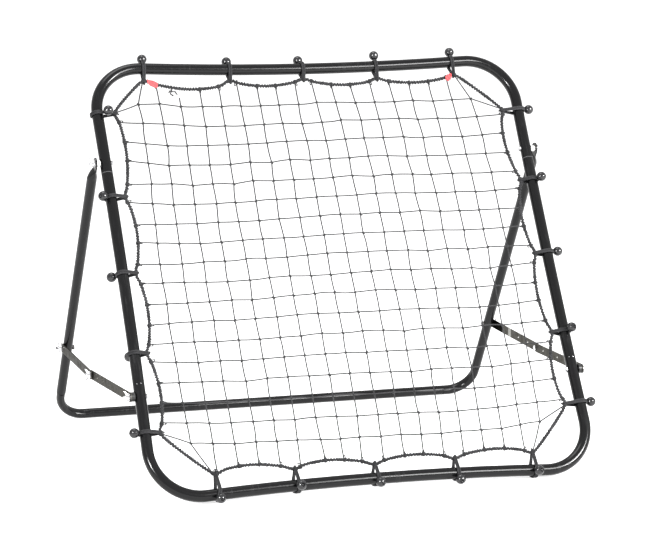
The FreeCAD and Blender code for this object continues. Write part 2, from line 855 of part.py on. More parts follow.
handed = {
    "front_strap": front_strap(),
    "rear_strap": rear_strap(),
    "knee_bolt_head": knee_head,
    "knee_bolt_end": knee_end,
    "knee_washer": knee_washer,
    "pivot_wing_nut": wing_nut(pivot_nut_x, pivot.y, pivot.z, 18),
    "brace_front_wing_nut": wing_nut(front_nut_x, brace_bolt.y, brace_bolt.z, 12),
    "brace_rear_wing_nut": wing_nut(rear_nut_x, leg_bolt.y, leg_bolt.z, 6),
    "knee_wing_nut": wing_nut(knee_nut_x, knee.y, knee.z, 10),
}
for name, shape in handed.items():
    pieces["right_" + name] = shape
    pieces["left_" + name] = mirrored(shape)

# The origin goes to the middle of the floor under the whole object
floor_bar = on_leg(support_leg_length)
back = floor_bar.y + support_radius
front = min(pieces["bungee_balls_bottom"].BoundBox.YMin, pieces["bungee_cords_bottom"].BoundBox.YMin)
shift = Vec(0, -(front + back) / 2, -floor)

for name, shape in pieces.items():
    placed = shape.copy()
    placed.translate(shift)
    placed.exportStep("parts/" + name + ".step")

print("pieces", len(pieces), "leg angle", round(math.degrees(leg_angle), 3))
print("rear strap", round(rear_strap_length, 3), "strap slant", round(math.degrees(strap_slant), 2))
for label, point in (
    ("pivot", pivot),
    ("brace bolt", brace_bolt),
    ("leg bolt", leg_bolt),
    ("knee", knee),
    ("floor bar", floor_bar),
):
    place = point + shift
    print(label, [round(value, 3) for value in place])
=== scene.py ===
"""Looks of a tennis rebound net: finishes for its steel work, and its soft and small pieces in full."""

import json
import logging
import math
import random
from dataclasses import dataclass
from enum import Enum
from typing import Any, Callable, Mapping, Optional, Sequence, Union

import bpy
import numpy as np
from mathutils import Matrix, Vector


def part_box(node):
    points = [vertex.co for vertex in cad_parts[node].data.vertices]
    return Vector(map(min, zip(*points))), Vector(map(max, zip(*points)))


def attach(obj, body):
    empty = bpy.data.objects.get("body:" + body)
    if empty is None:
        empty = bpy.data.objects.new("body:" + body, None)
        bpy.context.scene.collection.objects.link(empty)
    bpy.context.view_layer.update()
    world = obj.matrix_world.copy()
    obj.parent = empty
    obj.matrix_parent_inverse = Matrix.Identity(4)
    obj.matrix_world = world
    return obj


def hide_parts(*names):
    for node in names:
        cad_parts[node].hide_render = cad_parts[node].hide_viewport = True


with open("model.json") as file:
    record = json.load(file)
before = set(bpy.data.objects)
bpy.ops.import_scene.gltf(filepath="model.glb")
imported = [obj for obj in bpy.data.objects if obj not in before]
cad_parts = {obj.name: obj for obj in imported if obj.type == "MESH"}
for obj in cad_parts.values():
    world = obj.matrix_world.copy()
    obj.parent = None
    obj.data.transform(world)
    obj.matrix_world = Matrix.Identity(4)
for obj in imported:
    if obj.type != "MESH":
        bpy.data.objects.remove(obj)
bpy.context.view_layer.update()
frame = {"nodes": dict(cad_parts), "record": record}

log = logging.getLogger("rebound_net")

Colour = tuple[float, float, float]
Place = tuple[float, float, float]
Value = Union["Socket", float, Sequence[float]]
MM = 0.001
TILT = math.radians(33.4)
PIVOT_HEIGHT = 0.757


# Shader maths and finishes


class Socket:
    """A shader output whose arithmetic adds Math nodes to its material."""

    def __init__(self, bench: "Bench", port: bpy.types.NodeSocket) -> None:
        """Wrap one output of a material."""
        self.bench = bench
        self.port = port

    def math(self, operation: str, *others: Value) -> "Socket":
        """Math node that starts with this value."""
        return self.bench.math(operation, self, *others)

    def __add__(self, other: Value) -> "Socket":
        """Sum with a value."""
        return self.math("ADD", other)

    def __radd__(self, other: Value) -> "Socket":
        """Sum with a value on the left."""
        return self.bench.math("ADD", other, self)

    def __sub__(self, other: Value) -> "Socket":
        """Difference from a value."""
        return self.math("SUBTRACT", other)

    def __rsub__(self, other: Value) -> "Socket":
        """Difference of a value on the left."""
        return self.bench.math("SUBTRACT", other, self)

    def __mul__(self, other: Value) -> "Socket":
        """Product with a value."""
        return self.math("MULTIPLY", other)

    def __rmul__(self, other: Value) -> "Socket":
        """Product with a value on the left."""
        return self.bench.math("MULTIPLY", other, self)

    def __truediv__(self, other: Value) -> "Socket":
        """Quotient by a value."""
        return self.math("DIVIDE", other)

    def __rtruediv__(self, other: Value) -> "Socket":
        """Quotient of a value on the left."""
        return self.bench.math("DIVIDE", other, self)

    def __pow__(self, other: Value) -> "Socket":
        """Power of a value."""
        return self.math("POWER", other)

    def sine(self) -> "Socket":
        """Sine of the value, in radians."""
        return self.math("SINE")

    def size(self) -> "Socket":
        """Absolute value."""
        return self.math("ABSOLUTE")

    def ease(self, low: float, high: float) -> "Socket":
        """Smooth step from 0 at one value to 1 at another.

        Args:
            low: Where the step starts.
            high: Where the step ends.

        Returns:
            The eased value.
        """
        settings = {"interpolation_type": "SMOOTHSTEP"}
        sockets = {"Value": self, "From Min": low, "From Max": high}
        return self.bench.add("ShaderNodeMapRange", settings, sockets)


class Bench:
    """One material's node tree, and the one way in which its nodes are added."""

    def __init__(self, name: str) -> None:
        """Start an empty material.

        Args:
            name: The material's name.
        """
        self.material = bpy.data.materials.new(name)
        self.material.use_nodes = True
        self.tree = self.material.node_tree
        self.tree.nodes.clear()

    def add(
        self,
        kind: str,
        settings: Optional[Mapping[str, Any]] = None,
        sockets: Optional[Mapping[Union[str, int], Value]] = None,
        output: Union[str, int] = 0,
    ) -> Socket:
        """Add a node, set it up, and feed its sockets.

        Args:
            kind: The node's type.
            settings: Its own settings.
            sockets: Values or links of its inputs, by name or place.
            output: Which of its outputs is wanted.

        Returns:
            That output.
        """
        node = self.tree.nodes.new(kind)
        for key, value in (settings or {}).items():
            setattr(node, key, value)
        for key, value in (sockets or {}).items():
            port = node.inputs[key]
            if isinstance(value, Socket):
                self.tree.links.new(value.port, port)
            elif isinstance(value, tuple) and port.type == "RGBA" and len(value) == 3:
                port.default_value = (*value, 1.0)
            else:
                port.default_value = value
        return Socket(self, node.outputs[output]) if node.outputs else None

    def math(self, operation: str, *values: Value) -> Socket:
        """Math node on values in order."""
        return self.add("ShaderNodeMath", {"operation": operation}, dict(enumerate(values)))

    def mix(self, factor: Value, first: Value, second: Value) -> Socket:
        """Blend of two colours, by the second one's share."""
        sockets = {0: factor, 6: first, 7: second}
        return self.add("ShaderNodeMix", {"data_type": "RGBA"}, sockets, 2)

    def place(self, scale: Sequence[float] = (1, 1, 1)) -> Socket:
        """Object coordinates, stretched along each axis."""
        at = self.add("ShaderNodeTexCoord", output="Object")
        return self.add("ShaderNodeMapping", {}, {"Vector": at, "Scale": scale})

    def noise(self, at: Socket, scale: float, detail: float = 3.0, rough: float = 0.5) -> Socket:
        """Noise from 0 to 1, by grains per metre, octaves and the fine octaves' share."""
        sockets = {"Vector": at, "Scale": scale, "Detail": detail, "Roughness": rough}
        return self.add("ShaderNodeTexNoise", {}, sockets)

    def split(self, at: Socket) -> list[Socket]:
        """The three parts of a vector."""
        node = self.add("ShaderNodeSeparateXYZ", {}, {0: at}).port.node
        return [Socket(self, port) for port in node.outputs]

    def along(self) -> list[Socket]:
        """Share of a turn round a cord and metres along it, from the piece's own map."""
        return self.split(self.add("ShaderNodeUVMap", {"uv_map": "Lay"}))[:2]

    def bump(self, height: Value, depth: float, strength: float = 1.0) -> Socket:
        """Normal bent by a height from 0 to 1, by its depth in metres."""
        sockets = {"Height": height, "Distance": depth, "Strength": strength}
        return self.add("ShaderNodeBump", {}, sockets)

    def finish(self, **sockets: Value) -> bpy.types.Material:
        """Close the material with a Principled shader.

        Args:
            sockets: The shader's inputs, with underscores for spaces.

        Returns:
            The material.
        """
        named = {key.replace("_", " "): value for key, value in sockets.items()}
        named = {("Specular IOR Level" if key == "Specular" else key): v for key, v in named.items()}
        shader = self.add("ShaderNodeBsdfPrincipled", {}, named)
        self.add("ShaderNodeOutputMaterial", {}, {"Surface": shader})
        return self.material


@dataclass(frozen=True)
class PowderCoat:
    """Satin black powder coat: fine orange peel, faint dust, and bare rings worn at the seams."""

    name: str = "black_tube"
    colour: Colour = (0.0025, 0.0025, 0.0028)
    rubbed: Colour = (0.014, 0.014, 0.015)
    bare: Colour = (0.30, 0.30, 0.31)
    gloss: float = 0.17
    dull: float = 0.33
    peel: float = 0.00003
    seam: float = 0.732
    seam_width: float = 0.0011

    def _worn_rings(self, bench: Bench) -> Socket:
        """Thin worn rings where the tubes plug together.

        Args:
            bench: The material's node tree.

        Returns:
            Share of wear, 0 to 1.
        """
        low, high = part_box("pivot_washers")
        sine, cosine = math.sin(TILT), math.cos(TILT)
        x, y, z = bench.split(bench.place())
        back, rise = y - (low.y + high.y) / 2, z - (low.z + high.z) / 2
        up = back * sine + rise * cosine
        out = rise * sine - back * cosine
        near = 1.0 - out.size().ease(0.014, 0.016)
        edge = (self.seam_width * 0.4, self.seam_width)
        worn = (1.0 - x.size().ease(*edge)) * (1.0 - z.ease(0.024, 0.026))
        ring = (up - (self.seam - PIVOT_HEIGHT)).size()
        return worn.math("MAXIMUM", (1.0 - ring.ease(*edge)) * near)

    def build(self) -> bpy.types.Material:
        """Make the material.

        Returns:
            The finished material.
        """
        bench = Bench(self.name)
        at = bench.place()
        cloud = bench.noise(at, 9.0, 4.0, 0.6)
        grain = bench.noise(at, 850.0, 2.0)
        streak = bench.noise(bench.place((40.0, 4.0, 4.0)), 6.0, 3.0)
        rub = (cloud * streak).ease(0.27, 0.46)
        speck = bench.noise(at, 420.0, 1.0).ease(0.70, 0.76) * cloud
        colour = bench.mix(rub * 0.35 + speck * 0.5, self.colour, self.rubbed)
        worn = self._worn_rings(bench) * bench.noise(at, 160.0, 2.0).ease(0.36, 0.50)
        colour = bench.mix(worn * 0.22, colour, self.bare)
        rough = self.gloss + (self.dull - self.gloss) * rub + (grain - 0.5) * 0.08
        wavy = bench.noise(at, 120.0, 2.0)
        normal = bench.bump(grain * 0.55 + wavy * 0.45, self.peel, 0.5)
        return bench.finish(Base_Color=colour, Roughness=rough, Normal=normal, Specular=0.25)


@dataclass(frozen=True)
class PlatedSteel:
    """Zinc-plated or blackened steel with rolling marks, stains and worn spots."""

    name: str
    colour: Colour
    stain: Colour
    gloss: float
    dull: float
    marks: tuple[float, float, float] = (60.0, 6.0, 60.0)
    edge: float = 1.0
    # Whether the right strap gets a painted dark reflection of the leg and a painted highlight band.
    has_painted_strap_light: bool = False

    def build(self) -> bpy.types.Material:
        """Make the material.

        Returns:
            The finished material.
        """
        bench = Bench(self.name)
        at = bench.place()
        cloud = bench.noise(at, 70.0, 4.0, 0.6)
        rolled = bench.noise(bench.place(self.marks), 30.0, 2.0)
        spot = bench.noise(at, 260.0, 2.0).ease(0.60, 0.72)
        dirt = (cloud.ease(0.42, 0.66) * 0.6 + spot * 0.35).math("MINIMUM", 1.0)
        colour = bench.mix(dirt, self.colour, self.stain)
        rough = self.gloss + (self.dull - self.gloss) * dirt + (rolled - 0.5) * 0.14
        normal = bench.bump(rolled * 0.6 + cloud * 0.4, 0.00012, 0.5)
        # Painted light on the right strap: a dark painted reflection of the leg tube and a bright
        # painted highlight band.
        if self.has_painted_strap_light:
            colour = self._right_strap_painted_light(bench, colour)
        edge = (self.edge, self.edge, self.edge)
        return bench.finish(
            Base_Color=colour, Roughness=rough, Metallic=1.0, Normal=normal, Specular_Tint=edge
        )


    @staticmethod
    def _right_strap_painted_light(bench: Bench, colour: Socket) -> Socket:
        """Painted dark reflection of the leg and a painted highlight band near the right strap's rear
        end.

        Args:
            bench: The material's node tree.
            colour: The plate's own colour.

        Returns:
            The colour with both bands.
        """
        right, back = bench.split(bench.place())[:2]
        # First the painted dark reflection of the leg, then a painted highlight band in place of a
        # bend's glint.
        painted_light_bands = ((0.236, 0.288, (0.006, 0.006, 0.006)), (0.183, 0.199, (0.40, 0.40, 0.38)))
        for start, stop, paint in painted_light_bands:
            share = right.ease(0.0, 0.01) * back.ease(start - 0.002, start + 0.002)
            share = share * (1.0 - back.ease(stop - 0.002, stop + 0.002))
            colour = bench.mix(share * 0.9, colour, paint)
        return colour


@dataclass(frozen=True)
class MouldedPlastic:
    """Moulded plastic with a fine spark texture and handling marks."""

    name: str
    colour: Colour
    scuffed: Colour
    gloss: float
    dull: float
    grain: float = 600.0
    depth: float = 0.00008

    def build(self) -> bpy.types.Material:
        """Make the material.

        Returns:
            The finished material.
        """
        bench = Bench(self.name)
        at = bench.place()
        cloud = bench.noise(at, 110.0, 3.0, 0.55)
        fine = bench.noise(at, self.grain, 2.0)
        scuff = cloud.ease(0.50, 0.72)
        colour = bench.mix(scuff * 0.6, self.colour, self.scuffed)
        rough = self.gloss + (self.dull - self.gloss) * scuff + (fine - 0.5) * 0.08
        normal = bench.bump(fine * 0.5 + cloud * 0.5, self.depth, 0.6)
        return bench.finish(Base_Color=colour, Roughness=rough, Normal=normal)


class Lay(Enum):
    """How a cord's yarns run."""

    TWISTED = "twisted"
    BRAIDED = "braided"


@dataclass(frozen=True)
class CordYarn:
    """Yarn of a cord, read along the cord's own map, with painted shade in the grooves between yarns.
    """

    name: str
    colour: Colour
    # Lighter tone of real worn patches and of the yarn crests, next to the painted shade in the
    # grooves.
    worn: Colour
    lay: Lay
    yarns: float
    pitch: float
    depth: float
    sheen: float = 0.06

    def build(self) -> bpy.types.Material:
        """Make the material.

        Returns:
            The finished material.
        """
        bench = Bench(self.name)
        turn, along = bench.along()
        round_it = turn * (math.tau * self.yarns)
        down_it = along * (math.tau / self.pitch)
        right_hand = (round_it + down_it).sine()
        if self.lay is Lay.TWISTED:
            height = right_hand * 0.5 + 0.5
        else:
            left_hand = (round_it - down_it).sine()
            height = (right_hand * left_hand).size() ** 0.5
        at = bench.place()
        fuzz = bench.noise(at, 1500.0, 2.0, 0.7)
        cloud = bench.noise(at, 30.0, 3.0).ease(0.35, 0.75)
        # Yarn crests lighter and the grooves between them darker by the lay's relief: painted shade in
        # the grooves; the cloud adds real worn patches.
        colour = bench.mix(height * 0.45 + cloud * 0.35, self.colour, self.worn)
        rough = 0.72 + (fuzz - 0.5) * 0.2
        normal = bench.bump(height * 0.8 + fuzz * 0.2, self.depth, 0.8)
        return bench.finish(
            Base_Color=colour,
            Roughness=rough,
            Normal=normal,
            Specular=0.2,
            Sheen_Weight=self.sheen,
            Sheen_Roughness=0.5,
        )


@dataclass(frozen=True)
class TagCloth:
    """Plain-woven red tag cloth."""

    name: str = "tag_cloth"
    colour: Colour = (0.42, 0.026, 0.032)
    # Lighter tone of real faded patches and of the weave crests, beside the painted shade between
    # threads.
    fade_and_weave_light: Colour = (0.52, 0.065, 0.07)
    threads: float = 0.0011

    def build(self) -> bpy.types.Material:
        """Make the material.

        Returns:
            The finished material.
        """
        bench = Bench(self.name)
        across, along = bench.along()
        weft = (across * (math.tau / self.threads)).sine()
        warp = (along * (math.tau / self.threads)).sine()
        weave = (weft * warp) * 0.5 + 0.5
        cloud = bench.noise(bench.place(), 140.0, 3.0)
        # The weave's crests a little lighter and the hollows between threads darker: painted shade; the
        # cloud is real fading.
        colour = bench.mix(cloud.ease(0.3, 0.75) * 0.6 + weave * 0.2, self.colour, self.fade_and_weave_light)
        normal = bench.bump(weave, 0.00018, 0.7)
        return bench.finish(
            Base_Color=colour, Roughness=0.8 + weave * 0.1, Normal=normal, Sheen_Weight=0.3
        )


FINISHES = {
    "black_tube": PowderCoat(),
    "strap_zinc": PlatedSteel(
        name="strap_zinc",
        colour=(0.105, 0.102, 0.093),
        stain=(0.062, 0.060, 0.054),
        gloss=0.30,
        dull=0.50,
        edge=0.44,
        # The right strap gets its painted reflection and its painted highlight band.
        has_painted_strap_light=True,
    ),
    "bright_zinc": PlatedSteel(
        name="bright_zinc",
        colour=(0.66, 0.66, 0.67),
        stain=(0.34, 0.34, 0.35),
        gloss=0.20,
        dull=0.40,
        marks=(20.0, 20.0, 20.0),
    ),
    "dark_bolt": PlatedSteel(
        name="dark_bolt",
        colour=(0.06, 0.06, 0.065),
        stain=(0.10, 0.095, 0.09),
        gloss=0.32,
        dull=0.5,
        marks=(20.0, 20.0, 20.0),
    ),
    "white_plastic": MouldedPlastic(
        "white_plastic", (0.90, 0.90, 0.88), (0.74, 0.74, 0.71), 0.35, 0.5
    ),
    "black_plastic": MouldedPlastic(
        "black_plastic", (0.004, 0.004, 0.004), (0.02, 0.02, 0.02), 0.4, 0.6
    ),
    "ball_plastic": MouldedPlastic(
        "ball_plastic", (0.008, 0.008, 0.009), (0.02, 0.02, 0.021), 0.14, 0.28
    ),
    "net_twine": CordYarn(
        "net_twine", (0.010, 0.010, 0.011), (0.040, 0.040, 0.042), Lay.TWISTED, 2.0, 0.006, 0.0004
    ),
    "rope_cord": CordYarn(
        "rope_cord", (0.009, 0.009, 0.010), (0.044, 0.044, 0.047), Lay.TWISTED, 4.0, 0.005, 0.0003
    ),
    "bungee_cord": CordYarn(
        "bungee_cord", (0.006, 0.006, 0.007), (0.028, 0.028, 0.030), Lay.BRAIDED, 5.0, 0.0032, 0.0004
    ),
    "tag_cloth": TagCloth(),
}


class Paintbox:
    """The finishes, each made once, and put on pieces by slot name."""

    def __init__(self) -> None:
        """Make every finish."""
        self.materials = {slot: finish.build() for slot, finish in FINISHES.items()}
        for slot, material in self.materials.items():
            log.info("finish %s: %s", slot, material.name)

    def coat(self, piece: bpy.types.Object, slot: str) -> None:
        """Give a piece the finish of its slot.

        Args:
            piece: The piece.
            slot: The material slot it belongs to.
        """
        piece.data.materials.clear()
        piece.data.materials.append(self.materials[slot])

    def hand_over(
        self, piece: bpy.types.Object, slot: str, body: str, node: Optional[str] = None
    ) -> None:
        """Coat a finished piece, set the body it rides on, and report it.

        Args:
            piece: The piece.
            slot: Its material slot.
            body: The body that carries it.
            node: The solid that it replaces, if any.
        """
        self.coat(piece, slot)
        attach(piece, body)
        if node:
            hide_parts(node)
        log.info("piece %s", piece.name)

    def dress_solids(self) -> None:
        """Put the finishes on the carried-over solids by their record slots."""
        for row in frame["record"]["subparts"]:
            node = frame["nodes"][row["node"]]
            for holder in node.material_slots:
                holder.material = self.materials[row["material_slot"]]
            log.info("solid %s wears %s", row["node"], row["material_slot"])


# Hand tools: the operators that shape new pieces


class Shop:
    """Mesh operators, used as by hand on one piece at a time."""

    @staticmethod
    def clear() -> None:
        """Leave edit mode and deselect everything."""
        if bpy.context.object and bpy.context.object.mode != "OBJECT":
            bpy.ops.object.mode_set(mode="OBJECT")
        bpy.ops.object.select_all(action="DESELECT")

    @staticmethod
    def take(piece: bpy.types.Object) -> None:
        """Select one piece alone and make it active."""
        Shop.clear()
        piece.select_set(True)
        bpy.context.view_layer.objects.active = piece

    @staticmethod
    def _open(piece: bpy.types.Object, mode: str) -> None:
        """Take a piece and leave none of its faces or edges selected.

        Args:
            piece: The piece.
            mode: What is picked next, FACE or EDGE.
        """
        Shop.take(piece)
        bpy.ops.object.mode_set(mode="EDIT")
        bpy.ops.mesh.select_mode(type=mode)
        bpy.ops.mesh.select_all(action="DESELECT")
        bpy.ops.object.mode_set(mode="OBJECT")

    @staticmethod
    def pick(piece: bpy.types.Object, test: Callable[[Vector, Vector], bool]) -> None:
        """Go to edit mode with the faces that pass a test selected.

        Args:
            piece: The piece.
            test: Takes a face's centre and normal.
        """
        Shop._open(piece, "FACE")
        for face in piece.data.polygons:
            face.select = bool(test(face.center, face.normal))
        bpy.ops.object.mode_set(mode="EDIT")

    @staticmethod
    def pick_edges(piece: bpy.types.Object, test: Callable[[Vector, Vector], bool]) -> None:
        """Go to edit mode with the edges that pass a test selected.

        Args:
            piece: The piece.
            test: Takes an edge's two ends.
        """
        Shop._open(piece, "EDGE")
        points = piece.data.vertices
        for edge in piece.data.edges:
            edge.select = bool(test(*(points[end].co for end in edge.vertices)))
        bpy.ops.object.mode_set(mode="EDIT")

    @staticmethod
    def done() -> None:
        """Leave edit mode."""
        bpy.ops.object.mode_set(mode="OBJECT")

    @staticmethod
    def settle(piece: bpy.types.Object) -> None:
        """Move a piece's place, turn and size into its mesh."""
        Shop.take(piece)
        bpy.ops.object.transform_apply(location=True, rotation=True, scale=True)

    @staticmethod
    def face_out(piece: bpy.types.Object) -> None:
        """Turn all faces of a piece outwards.

        Args:
            piece: The piece.
        """
        Shop.pick(piece, lambda centre, normal: True)
        bpy.ops.mesh.normals_make_consistent(inside=False)
        Shop.done()

    @staticmethod
    def link(mesh: bpy.types.Mesh, name: str) -> bpy.types.Object:
        """Put a mesh in the scene as a piece.

        Args:
            mesh: The mesh.
            name: The piece's name.

        Returns:
            The piece.
        """
        piece = bpy.data.objects.new(name, mesh)
        bpy.context.scene.collection.objects.link(piece)
        return piece

    @staticmethod
    def round_off(piece: bpy.types.Object) -> None:
        """Shade every face of a piece smooth."""
        piece.data.polygons.foreach_set("use_smooth", [True] * len(piece.data.polygons))

    @staticmethod
    def modify(piece: bpy.types.Object, kind: str, **settings: Any) -> None:
        """Add a modifier and apply it.

        Args:
            piece: The piece.
            kind: The modifier's type.
            settings: Its settings.
        """
        Shop.take(piece)
        modifier = piece.modifiers.new(kind.lower(), kind)
        for key, value in settings.items():
            setattr(modifier, key, value)
        bpy.ops.object.modifier_apply(modifier=modifier.name)

    @staticmethod
    def copy(piece: bpy.types.Object, name: str, place: Matrix) -> bpy.types.Object:
        """Copy a piece with its own mesh, its place in the mesh.

        Args:
            piece: What is copied.
            name: The copy's name.
            place: Where the copy goes.

        Returns:
            The copy.
        """
        mesh = piece.data.copy()
        mesh.transform(place)
        if place.determinant() < 0:
            mesh.flip_normals()
        mesh.name = name
        return Shop.link(mesh, name)

    @staticmethod
    def join(pieces: Sequence[bpy.types.Object], name: str) -> bpy.types.Object:
        """Join pieces into one.

        Args:
            pieces: The pieces, the first of which stays.
            name: The joined piece's name.

        Returns:
            The joined piece.
        """
        Shop.clear()
        for piece in pieces:
            piece.select_set(True)
        bpy.context.view_layer.objects.active = pieces[0]
        bpy.ops.object.join()
        pieces[0].name = name
        pieces[0].data.name = name
        return pieces[0]

    @staticmethod
    def smooth(piece: bpy.types.Object, degrees: float = 40.0) -> None:
        """Shade a piece smooth except over sharp edges."""
        Shop.take(piece)
        bpy.ops.object.shade_smooth_by_angle(angle=math.radians(degrees))

    @staticmethod
    def drop(piece: bpy.types.Object) -> None:
        """Remove a pattern piece that was only copied."""
        bpy.data.objects.remove(piece)


def tube_mesh(
    name: str,
    runs: Sequence[tuple[np.ndarray, Vector, bool]],
    radius: float,
    sides: int,
) -> bpy.types.Object:
    """Cord surfaces along point runs, with a map of turns round and metres along.

    Args:
        name: The piece's name.
        runs: Points of each cord, a direction that it never follows, and whether it closes.
        radius: Cord radius, in metres.
        sides: Faces round the cord.

    Returns:
        The piece.
    """
    points, faces, chart = [], [], []
    turns = np.arange(sides) / sides * math.tau
    ring_of = np.stack([np.cos(turns), np.sin(turns)], 1)
    base = 0
    for run, across, closed in runs:
        ahead = np.roll(run, -1, 0) - run if closed else np.gradient(run, axis=0)
        if closed:
            ahead = ahead + np.roll(ahead, 1, 0)
        ahead /= np.linalg.norm(ahead, axis=1, keepdims=True)
        side = np.cross(ahead, np.array(across))
        side /= np.linalg.norm(side, axis=1, keepdims=True)
        up = np.cross(side, ahead)
        rings = run[:, None] + radius * (
            ring_of[None, :, :1] * side[:, None] + ring_of[None, :, 1:] * up[:, None]
        )
        points.extend(map(tuple, rings.reshape(-1, 3)))
        gaps = np.linalg.norm(np.diff(run, axis=0), axis=1)
        metres = np.concatenate([[0.0], np.cumsum(gaps)])
        if closed:
            metres = np.append(metres, metres[-1] + np.linalg.norm(run[0] - run[-1]))
        count = len(run)
        for ring in range(count if closed else count - 1):
            follower = (ring + 1) % count
            low, high = metres[ring], metres[ring + 1]
            for k in range(sides):
                near, far = base + ring * sides, base + follower * sides
                after = (k + 1) % sides
                faces.append((near + k, near + after, far + after, far + k))
                chart += [(k / sides, low), ((k + 1) / sides, low)]
                chart += [((k + 1) / sides, high), (k / sides, high)]
        if not closed:
            faces.append(tuple(base + k for k in reversed(range(sides))))
            last = base + (count - 1) * sides
            faces.append(tuple(last + k for k in range(sides)))
            chart += [(0.0, 0.0)] * (2 * sides)
        base += count * sides
    mesh = bpy.data.meshes.new(name)
    mesh.from_pydata(points, [], faces)
    layer = mesh.uv_layers.new(name="Lay")
    layer.data.foreach_set("uv", np.array(chart, np.float32).ravel())
    mesh.validate()
    piece = Shop.link(mesh, name)
    Shop.round_off(piece)
    return piece


# The front frame's own plane: u across, v up, n out of the front face


class Side(Enum):
    """The four sides of the front frame."""

    TOP = "top"
    RIGHT = "right"
    BOTTOM = "bottom"
    LEFT = "left"


@dataclass(frozen=True)
class Seat:
    """Where a tie sits on its tube, in the frame's plane."""

    centre: Vector
    tangent: Vector
    outward: Vector


@dataclass(frozen=True)
class FramePlane:
    """Centre line of the front frame and the way from its plane to the standing place."""

    width: float = 0.975
    height: float = 0.981
    corner: float = 0.104
    bar_bow: float = 0.010
    side_bow: float = 0.0035
    tube_radius: float = 0.0125

    @property
    def bar_run(self) -> float:
        """Half the bar between its bends."""
        return self.width / 2 - self.corner

    @property
    def side_run(self) -> float:
        """Half the side tube between its bends."""
        return self.height / 2 - self.corner

    def _radius(self, run: float, bow: float) -> float:
        """Radius of a bowed tube that meets both corner bends smoothly."""
        reach = self.corner - bow
        return (run**2 + reach**2 - self.corner**2) / (2 * bow)

    def seat(self, side: Side, share: float) -> Seat:
        """A tie's seat.

        Args:
            side: Which side of the frame.
            share: Share of the half run from the side's middle.

        Returns:
            Centre, tangent and outward direction.
        """
        level = 1 if side in (Side.TOP, Side.RIGHT) else -1
        across = side in (Side.TOP, Side.BOTTOM)
        run, bow = (self.bar_run, self.bar_bow) if across else (self.side_run, self.side_bow)
        half = (self.height if across else self.width) / 2
        radius = self._radius(run, bow)
        along = share * run
        root = math.sqrt(radius**2 - along**2)
        out = level * (half - bow + radius - root)
        slope = along / root
        if across:
            centre = (along, self.height / 2 + out, 0)
            tangent, outward = (1, level * slope, 0), (-slope, level, 0)
        else:
            centre = (out, self.height / 2 + along, 0)
            tangent, outward = (level * slope, 1, 0), (level, -slope, 0)
        return Seat(Vector(centre), Vector(tangent).normalized(), Vector(outward).normalized())

    def inside(self, side: Side, tie: "Tie") -> Vector:
        """Where a tie holds the rope, inside its tube."""
        seat = self.seat(side, tie.share)
        return seat.centre - seat.outward * tie.inset

    def standing(self) -> Matrix:
        """Matrix from the frame's plane to where the frame stands.

        Returns:
            The matrix, seated by the pivot washers' centre.
        """
        sine, cosine = math.sin(TILT), math.cos(TILT)
        low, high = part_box("pivot_washers")
        shift_y = (low.y + high.y) / 2 - PIVOT_HEIGHT * sine
        shift_z = (low.z + high.z) / 2 - PIVOT_HEIGHT * cosine
        return Matrix(
            (
                (1, 0, 0, 0),
                (0, sine, -cosine, shift_y),
                (0, cosine, sine, shift_z),
                (0, 0, 0, 1),
            )
        )


@dataclass(frozen=True)
class Tie:
    """One bungee tie, with its ball's angle round the tube and its slide along it."""

    share: float
    inset: float
    angle: float
    slide: float


TIES = {
    Side.TOP: (
        Tie(-0.970, 0.029, -9.0, 0.0015),
        Tie(-0.463, 0.027, -20.0, 0.0000),
        Tie(-0.023, 0.025, -17.0, -0.0030),
        Tie(0.425, 0.030, 6.0, 0.0030),
        Tie(0.903, 0.031, -4.0, 0.0050),
    ),
    Side.RIGHT: (
        Tie(0.937, 0.037, 2.0, 0.0015),
        Tie(0.489, 0.027, 53.0, -0.0015),
        Tie(0.028, 0.028, 4.0, 0.0015),
        Tie(-0.459, 0.029, 68.0, 0.0000),
        Tie(-0.891, 0.035, 1.0, 0.0000),
    ),
    Side.BOTTOM: (
        Tie(0.914, 0.039, 71.0, 0.0000),
        Tie(0.452, 0.033, 41.0, 0.0000),
        Tie(-0.015, 0.031, 54.0, 0.0000),
        Tie(-0.470, 0.036, 73.0, 0.0000),
        Tie(-0.914, 0.044, 54.0, -0.0045),
    ),
    Side.LEFT: (
        Tie(-0.899, 0.031, 15.0, 0.0000),
        Tie(-0.446, 0.027, -78.0, 0.0045),
        Tie(0.022, 0.028, -32.0, 0.0000),
        Tie(0.479, 0.031, 36.0, -0.0015),
        Tie(0.990, 0.038, 133.0, -0.0010),
    ),
}
FRONT = Vector((0, 0, 1))


@dataclass(frozen=True)
class Whipping:
    """Loose twine wound round the rope both ways, uneven by a few waves."""

    pitch: float = 0.0058
    radius: float = 0.0011
    sides: int = 5
    seated: float = 0.6
    waves: tuple[int, ...] = (31, 67, 113, 171)
    slip: float = 0.55
    swell: float = 0.25
    swell_ratio: float = 1.9
    slack: float = 0.0018
    tight: float = 0.3
    back_pitch: float = 0.9
    back_slip: float = 0.6
    back_shift: int = 311
    open_ends: int = 4


